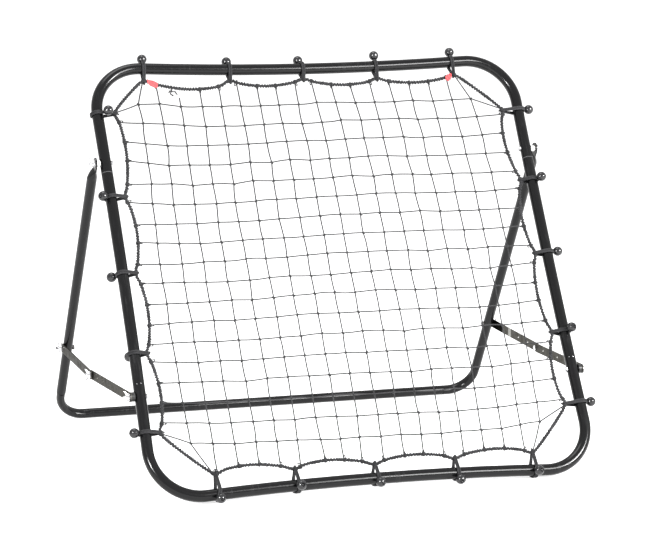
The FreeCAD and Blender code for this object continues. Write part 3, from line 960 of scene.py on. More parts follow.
@dataclass
class BorderRope:
    """Three-strand rope round the net, drawn out to each tie."""

    plane: FramePlane
    diameter: float = 0.0056
    tie_flat: float = 0.013
    scallop: float = 0.017
    shoulder_run: float = 0.024
    shoulder_drop: float = 0.009
    lay_pitch: float = 0.015
    ring_step: float = 0.0013
    whip: Whipping = Whipping()
    slack_tie: int = 0
    slack: float = 0.0065

    def corners(self) -> list[Vector]:
        """Control points of the rope's line, once round the frame.

        Returns:
            Points in the frame's plane.
        """
        stations = []
        for side, ties in TIES.items():
            way = 1 if side in (Side.TOP, Side.LEFT) else -1
            for tie in ties:
                seat = self.plane.seat(side, tie.share)
                place = self.plane.inside(side, tie)
                stations.append((side, place, seat.tangent * way, seat.outward))
        points = []
        for index, (side, place, ahead, outward) in enumerate(stations):
            after = stations[(index + 1) % len(stations)]
            points += [place - ahead * self.tie_flat / 2, place + ahead * self.tie_flat / 2]
            if after[0] is side:
                extra = self.slack if index == self.slack_tie else 0.0
                middle = place.lerp(after[1], 0.5) - outward * (self.scallop + extra)
                near = place + ahead * self.shoulder_run - outward * self.shoulder_drop
                far = after[1] - after[2] * self.shoulder_run - after[3] * (self.shoulder_drop + extra)
                points += [near, middle, far]
        return points

    def line(self) -> np.ndarray:
        """The rope's smooth centre line.

        Returns:
            Points once round, read from a spline through the control points.
        """
        curve = bpy.data.curves.new("rope_line", "CURVE")
        curve.dimensions = "3D"
        spline = curve.splines.new("NURBS")
        points = self.corners()
        spline.points.add(len(points) - 1)
        for knot, point in zip(spline.points, points):
            knot.co = (*point, 1.0)
        spline.use_cyclic_u = True
        spline.order_u = 3
        curve.resolution_u = 16
        holder = bpy.data.objects.new("rope_line", curve)
        bpy.context.scene.collection.objects.link(holder)
        mesh = bpy.data.meshes.new_from_object(holder)
        line = np.array([tuple(v.co) for v in mesh.vertices])
        bpy.data.objects.remove(holder)
        bpy.data.meshes.remove(mesh)
        return line

    def even_line(self, step: float) -> np.ndarray:
        """The centre line in even steps.

        Args:
            step: Metres from point to point.

        Returns:
            Points once round.
        """
        line = self.line()
        closed = np.vstack([line, line[:1]])
        metres = np.concatenate([[0.0], np.cumsum(np.linalg.norm(np.diff(closed, axis=0), axis=1))])
        count = int(metres[-1] / step)
        wanted = np.arange(count) / count * metres[-1]
        return np.stack([np.interp(wanted, metres, closed[:, k]) for k in range(3)], 1)

    def _coil(self, line: np.ndarray, phase: np.ndarray) -> np.ndarray:
        """Directions from the rope's line to a coil round it.

        Args:
            line: The rope's line.
            phase: The coil's turn at each point, in radians.

        Returns:
            The directions.
        """
        ahead = np.roll(line, -1, 0) - np.roll(line, 1, 0)
        ahead /= np.linalg.norm(ahead, axis=1, keepdims=True)
        side = np.cross(ahead, np.array(FRONT))
        return np.cos(phase)[:, None] * side + np.sin(phase)[:, None] * np.array(FRONT)

    def _whipping(self, line: np.ndarray) -> bpy.types.Object:
        """Two loose spirals of twine round the rope, wound against each other.

        Args:
            line: The rope's line.

        Returns:
            The spirals.
        """
        whip = self.whip
        share = np.arange(len(line)) / len(line) * math.tau
        dice = random.Random(41)
        slip, swell = np.zeros(len(line)), np.zeros(len(line))
        for wave in whip.waves:
            slip += np.sin(share * wave + dice.uniform(0, math.tau)) * whip.slip
            quick = share * round(wave * whip.swell_ratio)
            swell += np.sin(quick + dice.uniform(0, math.tau)) * whip.swell
        phase = share * round(self.ring_step * len(line) / whip.pitch) + slip
        reach = self.diameter / 2 + whip.radius * whip.seated
        reach = reach + whip.slack * np.clip(swell - whip.tight, 0, 1)
        first = self._coil(line, phase) * reach[:, None]
        back = -phase * whip.back_pitch + np.roll(slip, whip.back_shift) * whip.back_slip
        second = self._coil(line, back)[: -whip.open_ends] * reach[::-1][whip.open_ends :, None]
        coils = [(line + first, FRONT, True), (line[: -whip.open_ends] + second, FRONT, False)]
        return tube_mesh("whipping", coils, whip.radius, whip.sides)

    def build(self) -> bpy.types.Object:
        """Lay the three strands and whip them with two loose spirals of twine.

        Returns:
            The rope.
        """
        line = self.even_line(self.ring_step)
        turns = round(self.ring_step * len(line) / self.lay_pitch)
        strand_radius = self.diameter / 4
        runs = []
        for strand in range(3):
            phase = np.arange(len(line)) / len(line) * turns * math.tau + strand * math.tau / 3
            runs.append((line + self._coil(line, phase) * strand_radius, FRONT, True))
        rope = tube_mesh("laid_rope", runs, strand_radius, 6)
        rope = Shop.join([rope, self._whipping(line)], "laid_rope")
        rope.data.transform(self.plane.standing())
        return rope


@dataclass(frozen=True)
class Stretch:
    """How the tied mesh is pulled out of square: low waves across it, in millimetres."""

    degree: int = 4
    across: tuple[float, ...] = (
        0.2, -0.6, -0.8, 0.0, -0.7, -2.3, -3.4, -5.2, -0.5, 0.3, 2.2, 0.8, 1.0, 0.4, -0.1,
    )
    upward: tuple[float, ...] = (
        0.1, -3.0, -0.7, 0.9, 0.0, -1.2, 0.6, -2.9, -0.9, 1.2, -0.6, 2.9, -0.8, -2.3, 1.5,
    )

    @staticmethod
    def _wave(order: int, x: float) -> float:
        """One of a row of even waves between -1 and 1."""
        return math.cos(order * math.acos(max(-1.0, min(1.0, x))))

    def pull(self, x: float, y: float) -> Vector:
        """Displacement of a knot.

        Args:
            x: Its place across, from -1 to 1.
            y: Its place up, from -1 to 1.

        Returns:
            The displacement in metres.
        """
        u = v = 0.0
        orders = [(a, b) for a in range(self.degree + 1) for b in range(self.degree + 1 - a)]
        for (a, b), du, dv in zip(orders, self.across, self.upward):
            wave = self._wave(a, x) * self._wave(b, y)
            u += du * wave
            v += dv * wave
        return Vector((u, v, 0)) * MM


@dataclass(frozen=True)
class Frays:
    """Loose yarns of the torn strand: a short straight root, then a curl."""

    yarns: int = 3
    start: float = 0.001
    spacing: float = 0.0006
    lean: float = 0.15
    root_points: int = 4
    root_step: float = 0.0022
    root_lift: float = 0.0004
    first_way: Place = (0.0, -1.0, 0.1)
    curl_points: int = 9
    curl_step: float = 0.0019
    curl: tuple[tuple[float, float], ...] = ((-1, 1), (-0.7, 0.5), (-0.5, 0.5))
    across: Place = (0.3, 0.1, 0.95)


@dataclass
class KnottedNet:
    """Square mesh of twisted twine, knotted at each crossing and lashed to the rope."""

    plane: FramePlane
    rope: BorderRope
    stretch: Stretch = Stretch()
    strands: int = 18
    pitch: float = 0.0462
    lift: float = 0.006
    drift: float = -0.0035
    twine_radius: float = 0.0015
    sides: int = 6
    stray: float = 0.0011
    bow: float = 0.0005
    layer: float = 0.0007
    point_step: float = 0.0077
    rope_step: float = 0.002
    run_on: int = 3
    knot_size: float = 0.0035
    knot_turn: float = 14.0
    knot_spread: tuple[float, float] = (0.9, 1.12)
    lash_gap: float = 0.0014
    lash_lean: float = math.radians(8)
    corner_draw: float = 0.93
    corner_reach: float = 0.12
    tugs: tuple[tuple[int, int, float, float], ...] = (
        (0, 17, -0.008, -0.004),
        (1, 17, -0.007, 0.001),
        (2, 17, -0.004, -0.001),
        (1, 16, 0.001, 0.003),
    )
    torn_strand: int = 2
    torn_stub: float = 0.022
    torn_slip: float = 0.016
    frays: Frays = Frays()

    def _knots(self) -> list[list[Vector]]:
        """Places of all knots, by column and row.

        Returns:
            The places in the frame's plane.
        """
        last = self.strands - 1
        dice = random.Random(18)
        knots = []
        for column in range(self.strands):
            x = column / last * 2 - 1
            knots.append([])
            for row in range(self.strands):
                y = row / last * 2 - 1
                square = Vector((x, y, 0)) * (last / 2 * self.pitch)
                middle = Vector((self.drift, self.plane.height / 2 + self.lift, 0))
                chance = Vector((dice.gauss(0, self.stray), dice.gauss(0, self.stray), 0))
                knots[-1].append(middle + square + self.stretch.pull(x, y) + chance)
        for column, row, across, upward in self.tugs:
            knots[column][row] += Vector((across, upward, 0))
        return knots

    @staticmethod
    def _cut(line: np.ndarray, start: np.ndarray, stop: np.ndarray) -> Optional[np.ndarray]:
        """Where a straight run first meets the rope.

        Args:
            line: The rope's line.
            start: Start of the run.
            stop: End of the run.

        Returns:
            The meeting point, or nothing where it doesn't meet the rope.
        """
        ahead = np.roll(line, -1, 0) - line
        way = stop - start
        gap = line - start
        cross = way[0] * ahead[:, 1] - way[1] * ahead[:, 0]
        cross = np.where(np.abs(cross) < 1e-12, 1e-12, cross)
        run_share = (gap[:, 0] * ahead[:, 1] - gap[:, 1] * ahead[:, 0]) / cross
        rope_share = (gap[:, 0] * way[1] - gap[:, 1] * way[0]) / cross
        hit = (run_share >= 0) & (run_share <= 1) & (rope_share >= 0) & (rope_share <= 1)
        if not hit.any():
            return None
        return start + way * run_share[hit].min()

    def _trim(self, line: np.ndarray, points: list[np.ndarray]) -> tuple[list[np.ndarray], int]:
        """Cut a strand's outward half where it meets the rope.

        Args:
            line: The rope's line.
            points: Points from the net's middle outward.

        Returns:
            The kept points, and how many of them are knots.
        """
        far = points[-1] + (points[-1] - points[-2]) * self.run_on
        chain = [*points, far]
        for index in range(len(chain) - 1):
            meet = self._cut(line, chain[index], chain[index + 1])
            if meet is not None:
                return [*chain[: index + 1], meet], index + 1
        return chain, len(points)

    def _draw_in(self, line: np.ndarray, end: np.ndarray, sides: Sequence[Side]) -> np.ndarray:
        """Move an outermost strand's end along the rope to a near corner tie.

        Args:
            line: The rope's line.
            end: Where the strand would meet the rope.
            sides: The sides whose outer ties may take it.

        Returns:
            Where it is tied.
        """
        for side in sides:
            for tie in (TIES[side][0], TIES[side][-1]):
                place = np.array(self.plane.inside(side, tie))
                if np.linalg.norm(place - end) < self.corner_reach:
                    first = int(np.argmin(np.linalg.norm(line - end, axis=1)))
                    last = int(np.argmin(np.linalg.norm(line - place, axis=1)))
                    steps = (last - first + len(line) // 2) % len(line) - len(line) // 2
                    return line[(first + round(steps * self.corner_draw)) % len(line)]
        return end

    def build(self) -> bpy.types.Object:
        """Make the strands, knots and lashings as one piece.

        Returns:
            The net.
        """
        line = self.rope.even_line(self.rope_step)
        knots = self._knots()
        runs, ends, kept = self._strands(line, knots)
        parts = [tube_mesh("net_strands", runs, self.twine_radius, self.sides)]
        parts += self._set_knots(knots, kept)
        parts += self._set_lashings(line, ends)
        net = Shop.join(parts, "knotted_net")
        net.data.transform(self.plane.standing())
        return net

    def _strands(
        self, line: np.ndarray, knots: list[list[Vector]]
    ) -> tuple[list[tuple[np.ndarray, Vector, bool]], list[np.ndarray], np.ndarray]:
        """Lines of all strands, with the torn one's yarns.

        Args:
            line: The rope's line.
            knots: Places of all knots, by column and row.

        Returns:
            The runs, their ends on the rope, and which knots lie inside it.
        """
        kept = np.ones((self.strands, self.strands), bool)
        half = self.strands // 2
        runs, ends, torn_root = [], [], None
        for axis in (0, 1):
            sides = (Side.LEFT, Side.RIGHT) if axis else (Side.TOP, Side.BOTTOM)
            for index in range(self.strands):
                crossing = [column[index] for column in knots] if axis else knots[index]
                row = [np.array(knot) for knot in crossing]
                high, high_count = self._trim(line, row[half - 1 :])
                low, low_count = self._trim(line, row[half::-1])
                if index in (0, self.strands - 1):
                    high[-1] = self._draw_in(line, high[-1], sides)
                    low[-1] = self._draw_in(line, low[-1], sides)
                for k in range(self.strands):
                    if not half - low_count < k < half - 1 + high_count:
                        kept[(k, index) if axis else (index, k)] = False
                ends.append(low[-1])
                if axis == 0 and index == self.torn_strand:
                    torn_root = high[-1]
                    way = high[-1] - high[-2]
                    high[-1] = high[-2] + way / np.linalg.norm(way) * self.torn_stub
                else:
                    ends.append(high[-1])
                chain = np.array([*reversed(low[2:]), *high])
                runs.append((self._fill(chain, index * 2 + axis), FRONT, False))
        return runs + self._frays(torn_root), ends, kept

    def _set_knots(self, knots: list[list[Vector]], kept: np.ndarray) -> list[bpy.types.Object]:
        """Copy the knot to each crossing inside the rope.

        Args:
            knots: Places of all knots, by column and row.
            kept: Which of them lie inside the rope.

        Returns:
            The copies.
        """
        pattern = self._knot()
        dice = random.Random(7)
        copies = []
        for column in range(self.strands):
            for row in range(self.strands):
                if kept[column, row]:
                    lean = dice.choice((45, -45)) + dice.uniform(-self.knot_turn, self.knot_turn)
                    size = Matrix.Scale(dice.uniform(*self.knot_spread), 4)
                    place = Matrix.Translation(knots[column][row])
                    place = place @ Matrix.Rotation(math.radians(lean), 4, "Z") @ size
                    copies.append(Shop.copy(pattern, "knot", place))
        Shop.drop(pattern)
        return copies

    def _set_lashings(self, line: np.ndarray, ends: list[np.ndarray]) -> list[bpy.types.Object]:
        """Copy the lashing to each strand's end on the rope.

        Args:
            line: The rope's line.
            ends: The ends.

        Returns:
            The copies.
        """
        pattern = self._lashing()
        middle = Vector((0, self.plane.height / 2, 0))
        copies = []
        for place in ends:
            nearest = int(np.argmin(np.linalg.norm(line - place, axis=1)))
            ahead = Vector(line[(nearest + 1) % len(line)] - line[nearest]).normalized()
            inward = FRONT.cross(ahead)
            if inward.dot(middle - Vector(place)) < 0:
                inward = -inward
            turn = Matrix((ahead, inward, ahead.cross(inward))).transposed().to_4x4()
            turn = Matrix.Translation(Vector(line[nearest])) @ turn
            copies.append(Shop.copy(pattern, "lashing", turn))
        Shop.drop(pattern)
        return copies

    def _fill(self, chain: np.ndarray, seed: int) -> np.ndarray:
        """Points along a strand, with a slight bow from knot to knot.

        Args:
            chain: The strand's knots and ends.
            seed: Which strand.

        Returns:
            The points.
        """
        dice = random.Random(seed)
        level = self.layer * (1 if seed % 2 else -1)
        points = []
        for start, stop in zip(chain, chain[1:]):
            way = stop - start
            length = float(np.linalg.norm(way))
            across = np.array((-way[1], way[0], 0.0)) / max(length, 1e-9)
            bow = dice.gauss(0, self.bow)
            count = max(1, round(length / self.point_step))
            for k in range(count):
                share = k / count
                points.append(start + way * share + across * (bow * math.sin(math.pi * share)))
        points.append(chain[-1])
        return np.array(points) + np.array((0, 0, level))

    def _frays(self, root: np.ndarray) -> list[tuple[np.ndarray, Vector, bool]]:
        """Loose yarns where a strand has torn off the rope.

        Args:
            root: Where the strand was tied.

        Returns:
            Short runs that hang from the rope.
        """
        frays = self.frays
        dice = random.Random(5)
        runs = []
        for yarn in range(frays.yarns):
            lean = dice.uniform(-frays.lean, frays.lean)
            start = (-self.torn_slip, -frays.start, frays.spacing * yarn + frays.start)
            step = np.array((lean * frays.root_step, -frays.root_step, frays.root_lift))
            points = [root + np.array(start) + step * k for k in range(frays.root_points)]
            way = np.array(frays.first_way) + np.array((lean, 0.0, 0.0))
            for _ in range(frays.curl_points):
                way = way + np.array([dice.uniform(low, high) for low, high in frays.curl])
                way /= np.linalg.norm(way)
                points.append(points[-1] + way * frays.curl_step)
            runs.append((np.array(points), Vector(frays.across), False))
        return runs

    def _knot(self) -> bpy.types.Object:
        """A sheet-bend knot's lump, from a coarse ball.

        Returns:
            The pattern piece.
        """
        Shop.clear()
        bpy.ops.mesh.primitive_uv_sphere_add(segments=8, ring_count=5, radius=self.knot_size)
        knot = bpy.context.object
        Shop.pick(knot, lambda centre, normal: abs(centre.x) > self.knot_size * 0.55)
        bpy.ops.transform.resize(value=(1.15, 0.8, 0.85))
        Shop.pick(knot, lambda centre, normal: abs(centre.z) > self.knot_size * 0.5)
        bpy.ops.transform.resize(value=(1.0, 0.75, 0.8))
        Shop.done()
        Shop.round_off(knot)
        knot.data.uv_layers[0].name = "Lay"
        return knot

    @staticmethod
    def _ring(major: float, minor: float, place: Place, turn: Place) -> bpy.types.Object:
        """One closed turn of twine.

        Args:
            major: Radius of the turn.
            minor: Radius of the twine.
            place: Its middle.
            turn: Its rotation.

        Returns:
            The ring.
        """
        bpy.ops.mesh.primitive_torus_add(
            major_segments=10,
            minor_segments=5,
            major_radius=major,
            minor_radius=minor,
            location=place,
            rotation=turn,
        )
        ring = bpy.context.object
        Shop.settle(ring)
        return ring

    def _lashing(self) -> bpy.types.Object:
        """Two turns of twine round the rope and a small loop inside it.

        Returns:
            The pattern piece, the rope along +X and the net towards +Y.
        """
        Shop.clear()
        twine = self.twine_radius
        grip = self.rope.diameter / 2 + twine * 0.7
        inside = self.rope.diameter / 2 + twine * 1.9
        upright = math.pi / 2
        turns = [
            self._ring(grip, twine, (-self.lash_gap, 0, 0), (0, upright, self.lash_lean)),
            self._ring(grip, twine, (self.lash_gap, 0, 0), (0, upright, -self.lash_lean)),
            self._ring(twine * 2.2, twine * 0.9, (0, inside, 0), (0, 0, 0)),
        ]
        outer = self.rope.diameter / 2 + self.twine_radius * 2
        Shop.pick(turns[-1], lambda centre, normal: centre.y > outer)
        bpy.ops.transform.resize(value=(0.6, 1.25, 1.0))
        Shop.done()
        whole = Shop.join(turns, "lashing")
        Shop.round_off(whole)
        whole.data.uv_layers[0].name = "Lay"
        return whole


@dataclass
class BungeeTies:
    """Ball bungees of one side of the frame: a doubled cord and its ball at each tie."""

    plane: FramePlane
    side: Side
    cord_radius: float = 0.0021
    cord_gap: float = 0.00015
    rope_radius: float = 0.0025
    ball_seat: float = 0.0256
    neck_half: float = 0.0016
    hitch_half: float = 0.0013
    stack: float = 0.0011
    neck_reach: float = math.radians(62)
    low_skew: float = -0.0065
    skew_chance: float = 0.002
    ball_tilt: float = 0.35
    sides: int = 10
    tube_points: int = 22
    rope_points: int = 9
    straight: tuple[float, ...] = (0.25, 0.5, 0.75)

    @property
    def wrap(self) -> float:
        """Distance of the cord's middle from the tube's."""
        return self.plane.tube_radius + self.cord_gap + self.cord_radius

    @property
    def turn(self) -> float:
        """Distance of the cord's middle from the rope's."""
        return self.rope_radius + self.cord_gap + self.cord_radius

    @property
    def beside(self) -> float:
        """Half the distance between the two strands where they touch."""
        return self.cord_radius + self.cord_gap / 2

    def _outline(self, inset: float) -> list[tuple[float, float, float]]:
        """A strand's closed line across the tube, with its share of the way to the rope.

        Args:
            inset: How far the rope lies inside the tube.

        Returns:
            Outward place, forward place and nearness to the rope of each point.
        """
        lean = math.acos(-(self.wrap - self.turn) / inset)
        flat = []
        for angle in np.linspace(lean, -lean, self.tube_points):
            flat.append((self.wrap * math.cos(angle), self.wrap * math.sin(angle), 0.0))
        back = np.array((-inset + self.turn * math.cos(lean), -self.turn * math.sin(lean)))
        leave = np.array(flat[-1][:2])
        for share in self.straight:
            flat.append((*(leave * (1 - share) + back * share), share))
        for angle in np.linspace(-lean, lean - math.tau, self.rope_points):
            flat.append((-inset + self.turn * math.cos(angle), self.turn * math.sin(angle), 1.0))
        leave, meet = np.array(flat[-1][:2]), np.array(flat[0][:2])
        for share in self.straight:
            flat.append((*(leave * (1 - share) + meet * share), 1 - share))
        return flat

    def _belt(self, seat: Seat, tie: Tie, way: int, skew: float) -> np.ndarray:
        """One strand's closed line round the tube and the rope, drawn in at the ball and rope.

        Args:
            seat: Where the tie sits.
            tie: The tie.
            way: Which of the two strands, -1 or 1.
            skew: How far the strands shift along the tube at the back.

        Returns:
            Points of the line.
        """
        points = []
        for out, forth, at_rope in self._outline(tie.inset):
            angle = math.atan2(forth, out) - math.radians(tie.angle)
            off = abs(math.remainder(angle, math.tau))
            at_ball = max(0.0, 1 - off / self.neck_reach) * (1 - at_rope)
            at_ball *= at_ball * (3 - 2 * at_ball)
            ease = at_rope * at_rope * (3 - 2 * at_rope)
            half = self.beside + (self.hitch_half - self.beside) * ease
            half += (self.neck_half - self.beside) * at_ball
            rise = 1 + way * self.stack * ease / math.hypot(out + tie.inset * at_rope, forth)
            out = (out + tie.inset * at_rope) * rise - tie.inset * at_rope
            slide = tie.slide * at_ball + skew * max(0.0, -forth / self.wrap) * (1 - at_rope)
            place = seat.centre + seat.outward * out + FRONT * (forth * rise)
            points.append(tuple(place + seat.tangent * (way * half + slide)))
        return np.array(points)

    def build_cords(self) -> bpy.types.Object:
        """Wind the doubled cords.

        Returns:
            The cords of this side.
        """
        dice = random.Random(self.side.value)
        runs = []
        for tie in TIES[self.side]:
            seat = self.plane.seat(self.side, tie.share)
            skew = dice.uniform(-self.skew_chance, self.skew_chance)
            skew += self.low_skew if self.side is Side.BOTTOM else 0.0
            for way in (-1, 1):
                runs.append((self._belt(seat, tie, way, skew), seat.tangent, True))
        cords = tube_mesh("bungee_loops_" + self.side.value, runs, self.cord_radius, self.sides)
        cords.data.transform(self.plane.standing())
        return cords

    def _ball_place(self, seat: Seat, tie: Tie) -> tuple[Vector, Vector]:
        """A ball's centre and the way out of its tube.

        Args:
            seat: Where the tie sits.
            tie: The tie.

        Returns:
            Centre and direction.
        """
        angle = math.radians(tie.angle)
        straight = math.pi / 2 + math.asin((self.wrap - self.turn) / tie.inset)
        clear = self.ball_seat / math.cos(max(0.0, abs(angle) - straight))
        way = seat.outward * math.cos(angle) + FRONT * math.sin(angle)
        return seat.centre + way * clear + seat.tangent * tie.slide, way

    def build_balls(self, pattern: bpy.types.Object) -> bpy.types.Object:
        """Set a ball on each tie.

        Args:
            pattern: The ball that is copied.

        Returns:
            The balls of this side.
        """
        dice = random.Random(self.side.value + "ball")
        balls = []
        for tie in TIES[self.side]:
            seat = self.plane.seat(self.side, tie.share)
            centre, way = self._ball_place(seat, tie)
            way = way + seat.tangent * dice.uniform(-self.ball_tilt, self.ball_tilt)
            turn = FRONT.rotation_difference(way).to_matrix().to_4x4()
            spin = Matrix.Rotation(dice.uniform(0, math.tau), 4, "Z")
            balls.append(Shop.copy(pattern, "ball", Matrix.Translation(centre) @ turn @ spin))
        piece = Shop.join(balls, "toggle_balls_" + self.side.value)
        piece.data.transform(self.plane.standing())
        return piece


@dataclass
class ToggleBall:
    """Moulded ball with a cord hole, a dimple round it, a knot in it and a parting line."""

    radius: float = 0.01075
    knot_radius: float = 0.0021
    knot_seat: float = 0.86
    pole: float = 0.90
    pole_flat: float = 0.955
    mouth: float = 0.93
    dimple: tuple[tuple[float, float], ...] = (
        (0.0007, -0.0008),
        (0.0006, -0.0009),
        (0.0002, -0.0030),
    )
    seam_width: float = 0.0004
    seam_rise: float = 0.00012

    def build(self) -> bpy.types.Object:
        """Shape the ball.

        Returns:
            The pattern piece, its knot end along +Z.
        """
        Shop.clear()
        bpy.ops.mesh.primitive_uv_sphere_add(segments=24, ring_count=16, radius=self.radius)
        ball = bpy.context.object
        for level in (1, -1):
            Shop.pick(ball, lambda centre, normal: centre.z * level > self.radius * self.pole)
            bpy.ops.transform.resize(value=(1.0, 1.0, self.pole_flat))
            Shop.pick(ball, lambda centre, normal: centre.z * level > self.radius * self.mouth)
            bpy.ops.mesh.dissolve_faces()
            for thickness, depth in self.dimple:
                bpy.ops.mesh.inset(thickness=thickness, depth=depth)
            Shop.done()
        equator = 1e-5
        Shop.pick_edges(ball, lambda a, b: abs(a.z) < equator and abs(b.z) < equator)
        bpy.ops.mesh.bevel(offset=self.seam_width, segments=2)
        Shop.done()
        Shop.pick_edges(ball, lambda a, b: abs(a.z) < equator and abs(b.z) < equator)
        grow = 1 + self.seam_rise / self.radius
        bpy.ops.transform.resize(value=(grow, grow, 1.0))
        Shop.done()
        bpy.ops.mesh.primitive_uv_sphere_add(
            segments=12,
            ring_count=8,
            radius=self.knot_radius,
            location=(0, 0, self.radius * self.knot_seat),
        )
        knot = bpy.context.object
        Shop.pick(knot, lambda centre, normal: normal.z > 0.6)
        bpy.ops.transform.resize(value=(0.8, 0.8, 1.0))
        Shop.done()
        Shop.settle(knot)
        whole = Shop.join([ball, knot], "toggle_ball")
        Shop.smooth(whole)
        return whole


@dataclass
class WingNut:
    """Cast wing nut with a round hub and two raised ears."""

    hub_base: float = 0.0125
    hub_top: float = 0.0090
    hub_height: float = 0.0070
    thickness: float = 0.0026
    grid: float = 0.00045
    ear_root: float = 0.001
    ear_steps: tuple[tuple[float, float, float, float], ...] = (
        (0.0022, 0.0006, 0.95, 0.95),
        (0.0024, 0.0016, 0.92, 0.98),
        (0.0022, 0.0016, 0.92, 0.95),
        (0.0016, 0.0010, 0.85, 0.80),
        (0.0008, 0.0002, 0.70, 0.62),
    )

    def build(self) -> bpy.types.Object:
        """Shape the nut with its axis along +Z and its seat at the origin.

        Returns:
            The pattern piece.
        """
        Shop.clear()
        bpy.ops.mesh.primitive_cylinder_add(
            vertices=32,
            radius=self.hub_base / 2,
            depth=self.hub_height,
            location=(0, 0, self.hub_height / 2),
        )
        hub = bpy.context.object
        Shop.settle(hub)
        Shop.pick(hub, lambda centre, normal: normal.z > 0.9)
        share = self.hub_top / self.hub_base
        bpy.ops.transform.resize(value=(share, share, 1.0))
        Shop.done()
        ears = [self._ear(way) for way in (0, 1)]
        nut = Shop.join([hub, *ears], "wing_nut")
        Shop.modify(nut, "REMESH", mode="VOXEL", voxel_size=self.grid)
        Shop.modify(nut, "SMOOTH", factor=0.5, iterations=4)
        Shop.modify(nut, "DECIMATE", ratio=0.35)
        Shop.round_off(nut)
        return nut

    def _ear(self, way: int) -> bpy.types.Object:
        """One ear, drawn out of a block in steps.

        Args:
            way: 0 for +Y and 1 for -Y.

        Returns:
            The ear.
        """
        Shop.clear()
        root = self.hub_top / 2 - self.ear_root
        bpy.ops.mesh.primitive_cube_add(size=1.0, location=(0, root, self.hub_height * 0.55))
        ear = bpy.context.object
        ear.scale = (self.thickness * 1.15, 0.002, self.hub_height * 0.8)
        Shop.settle(ear)
        for out, up, thin, low in self.ear_steps:
            Shop.pick(ear, lambda centre, normal: normal.y > 0.7 and centre.y > root)
            bpy.ops.mesh.extrude_region_move(TRANSFORM_OT_translate={"value": (0, out, up)})
            bpy.ops.transform.resize(value=(thin, 1.0, low))
            Shop.done()
        Shop.modify(ear, "SUBSURF", levels=2, render_levels=2)
        if way:
            ear.data.transform(Matrix.Rotation(math.pi, 4, "Z"))
        return ear


@dataclass(frozen=True)
class NutPlace:
    """Where one pair of wing nuts sits; {side} in a name stands for left or right."""

    key: str
    washer: str
    bolt_body: str
    turn: float


NUTS = (
    NutPlace("pivot", "pivot_washers", "front_frame", 18.0),
    NutPlace("brace_front", "brace_front_washers", "front_frame", 12.0),
    NutPlace("brace_rear", "brace_rear_washers", "rear_support", 6.0),
    NutPlace("knee", "{side}_knee_washer", "{side}_rear_brace", 10.0),
)


@dataclass
class Fasteners:
    """The wing nuts and the threaded bolt ends in them."""

    paint: Paintbox
    nut: WingNut
    pitch: float = 0.001
    crest: float = 0.00312
    root: float = 0.00280
    thread_length: float = 0.0118

    def build(self) -> None:
        """Copy the nut and a threaded end to each of the eight bolts."""
        pattern = self.nut.build()
        thread = self._thread()
        for place in NUTS:
            for name, way in (("left", -1), ("right", 1)):
                node = f"{name}_{place.key}_wing_nut"
                low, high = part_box(node)
                seat_x = low.x if way > 0 else high.x
                low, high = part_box(place.washer.format(side=name))
                seat = Vector((seat_x, (low.y + high.y) / 2, (low.z + high.z) / 2))
                aim = Matrix(((0, 0, way, 0), (-way, 0, 0, 0), (0, 1, 0, 0), (0, 0, 0, 1)))
                spin = Matrix.Rotation(math.radians(place.turn), 4, "X")
                if way < 0:
                    spin = spin.inverted()
                seated = Matrix.Translation(seat)
                nut = Shop.copy(pattern, "cast_" + node, seated @ spin @ aim)
                self.paint.hand_over(nut, "bright_zinc", f"{name}_{place.key}_nut", node)
                end = Shop.copy(thread, f"thread_{name}_{place.key}", seated @ aim)
                self.paint.hand_over(end, "bright_zinc", place.bolt_body.format(side=name))
        Shop.drop(pattern)
        Shop.drop(thread)

    def _thread(self) -> bpy.types.Object:
        """A bolt's threaded end, turned from a stepped rod.

        Returns:
            The pattern piece, from the nut's seat along +Z.
        """
        Shop.clear()
        bpy.ops.mesh.primitive_circle_add(
            vertices=18, radius=self.root, fill_type="NGON", location=(0, 0, 0.0002)
        )
        rod = bpy.context.object
        Shop.settle(rod)
        wide = self.crest / self.root
        turns = int(self.thread_length / self.pitch)
        for _ in range(turns):
            for share, grow in ((0.5, wide), (0.5, 1 / wide)):
                top = max(v.co.z for v in rod.data.vertices)
                Shop.pick(rod, lambda centre, normal: centre.z > top - 1e-6)
                bpy.ops.mesh.extrude_region_move(
                    TRANSFORM_OT_translate={"value": (0, 0, self.pitch * share)}
                )
                bpy.ops.transform.resize(value=(grow, grow, 1.0))
                Shop.done()
        Shop.face_out(rod)
        return rod


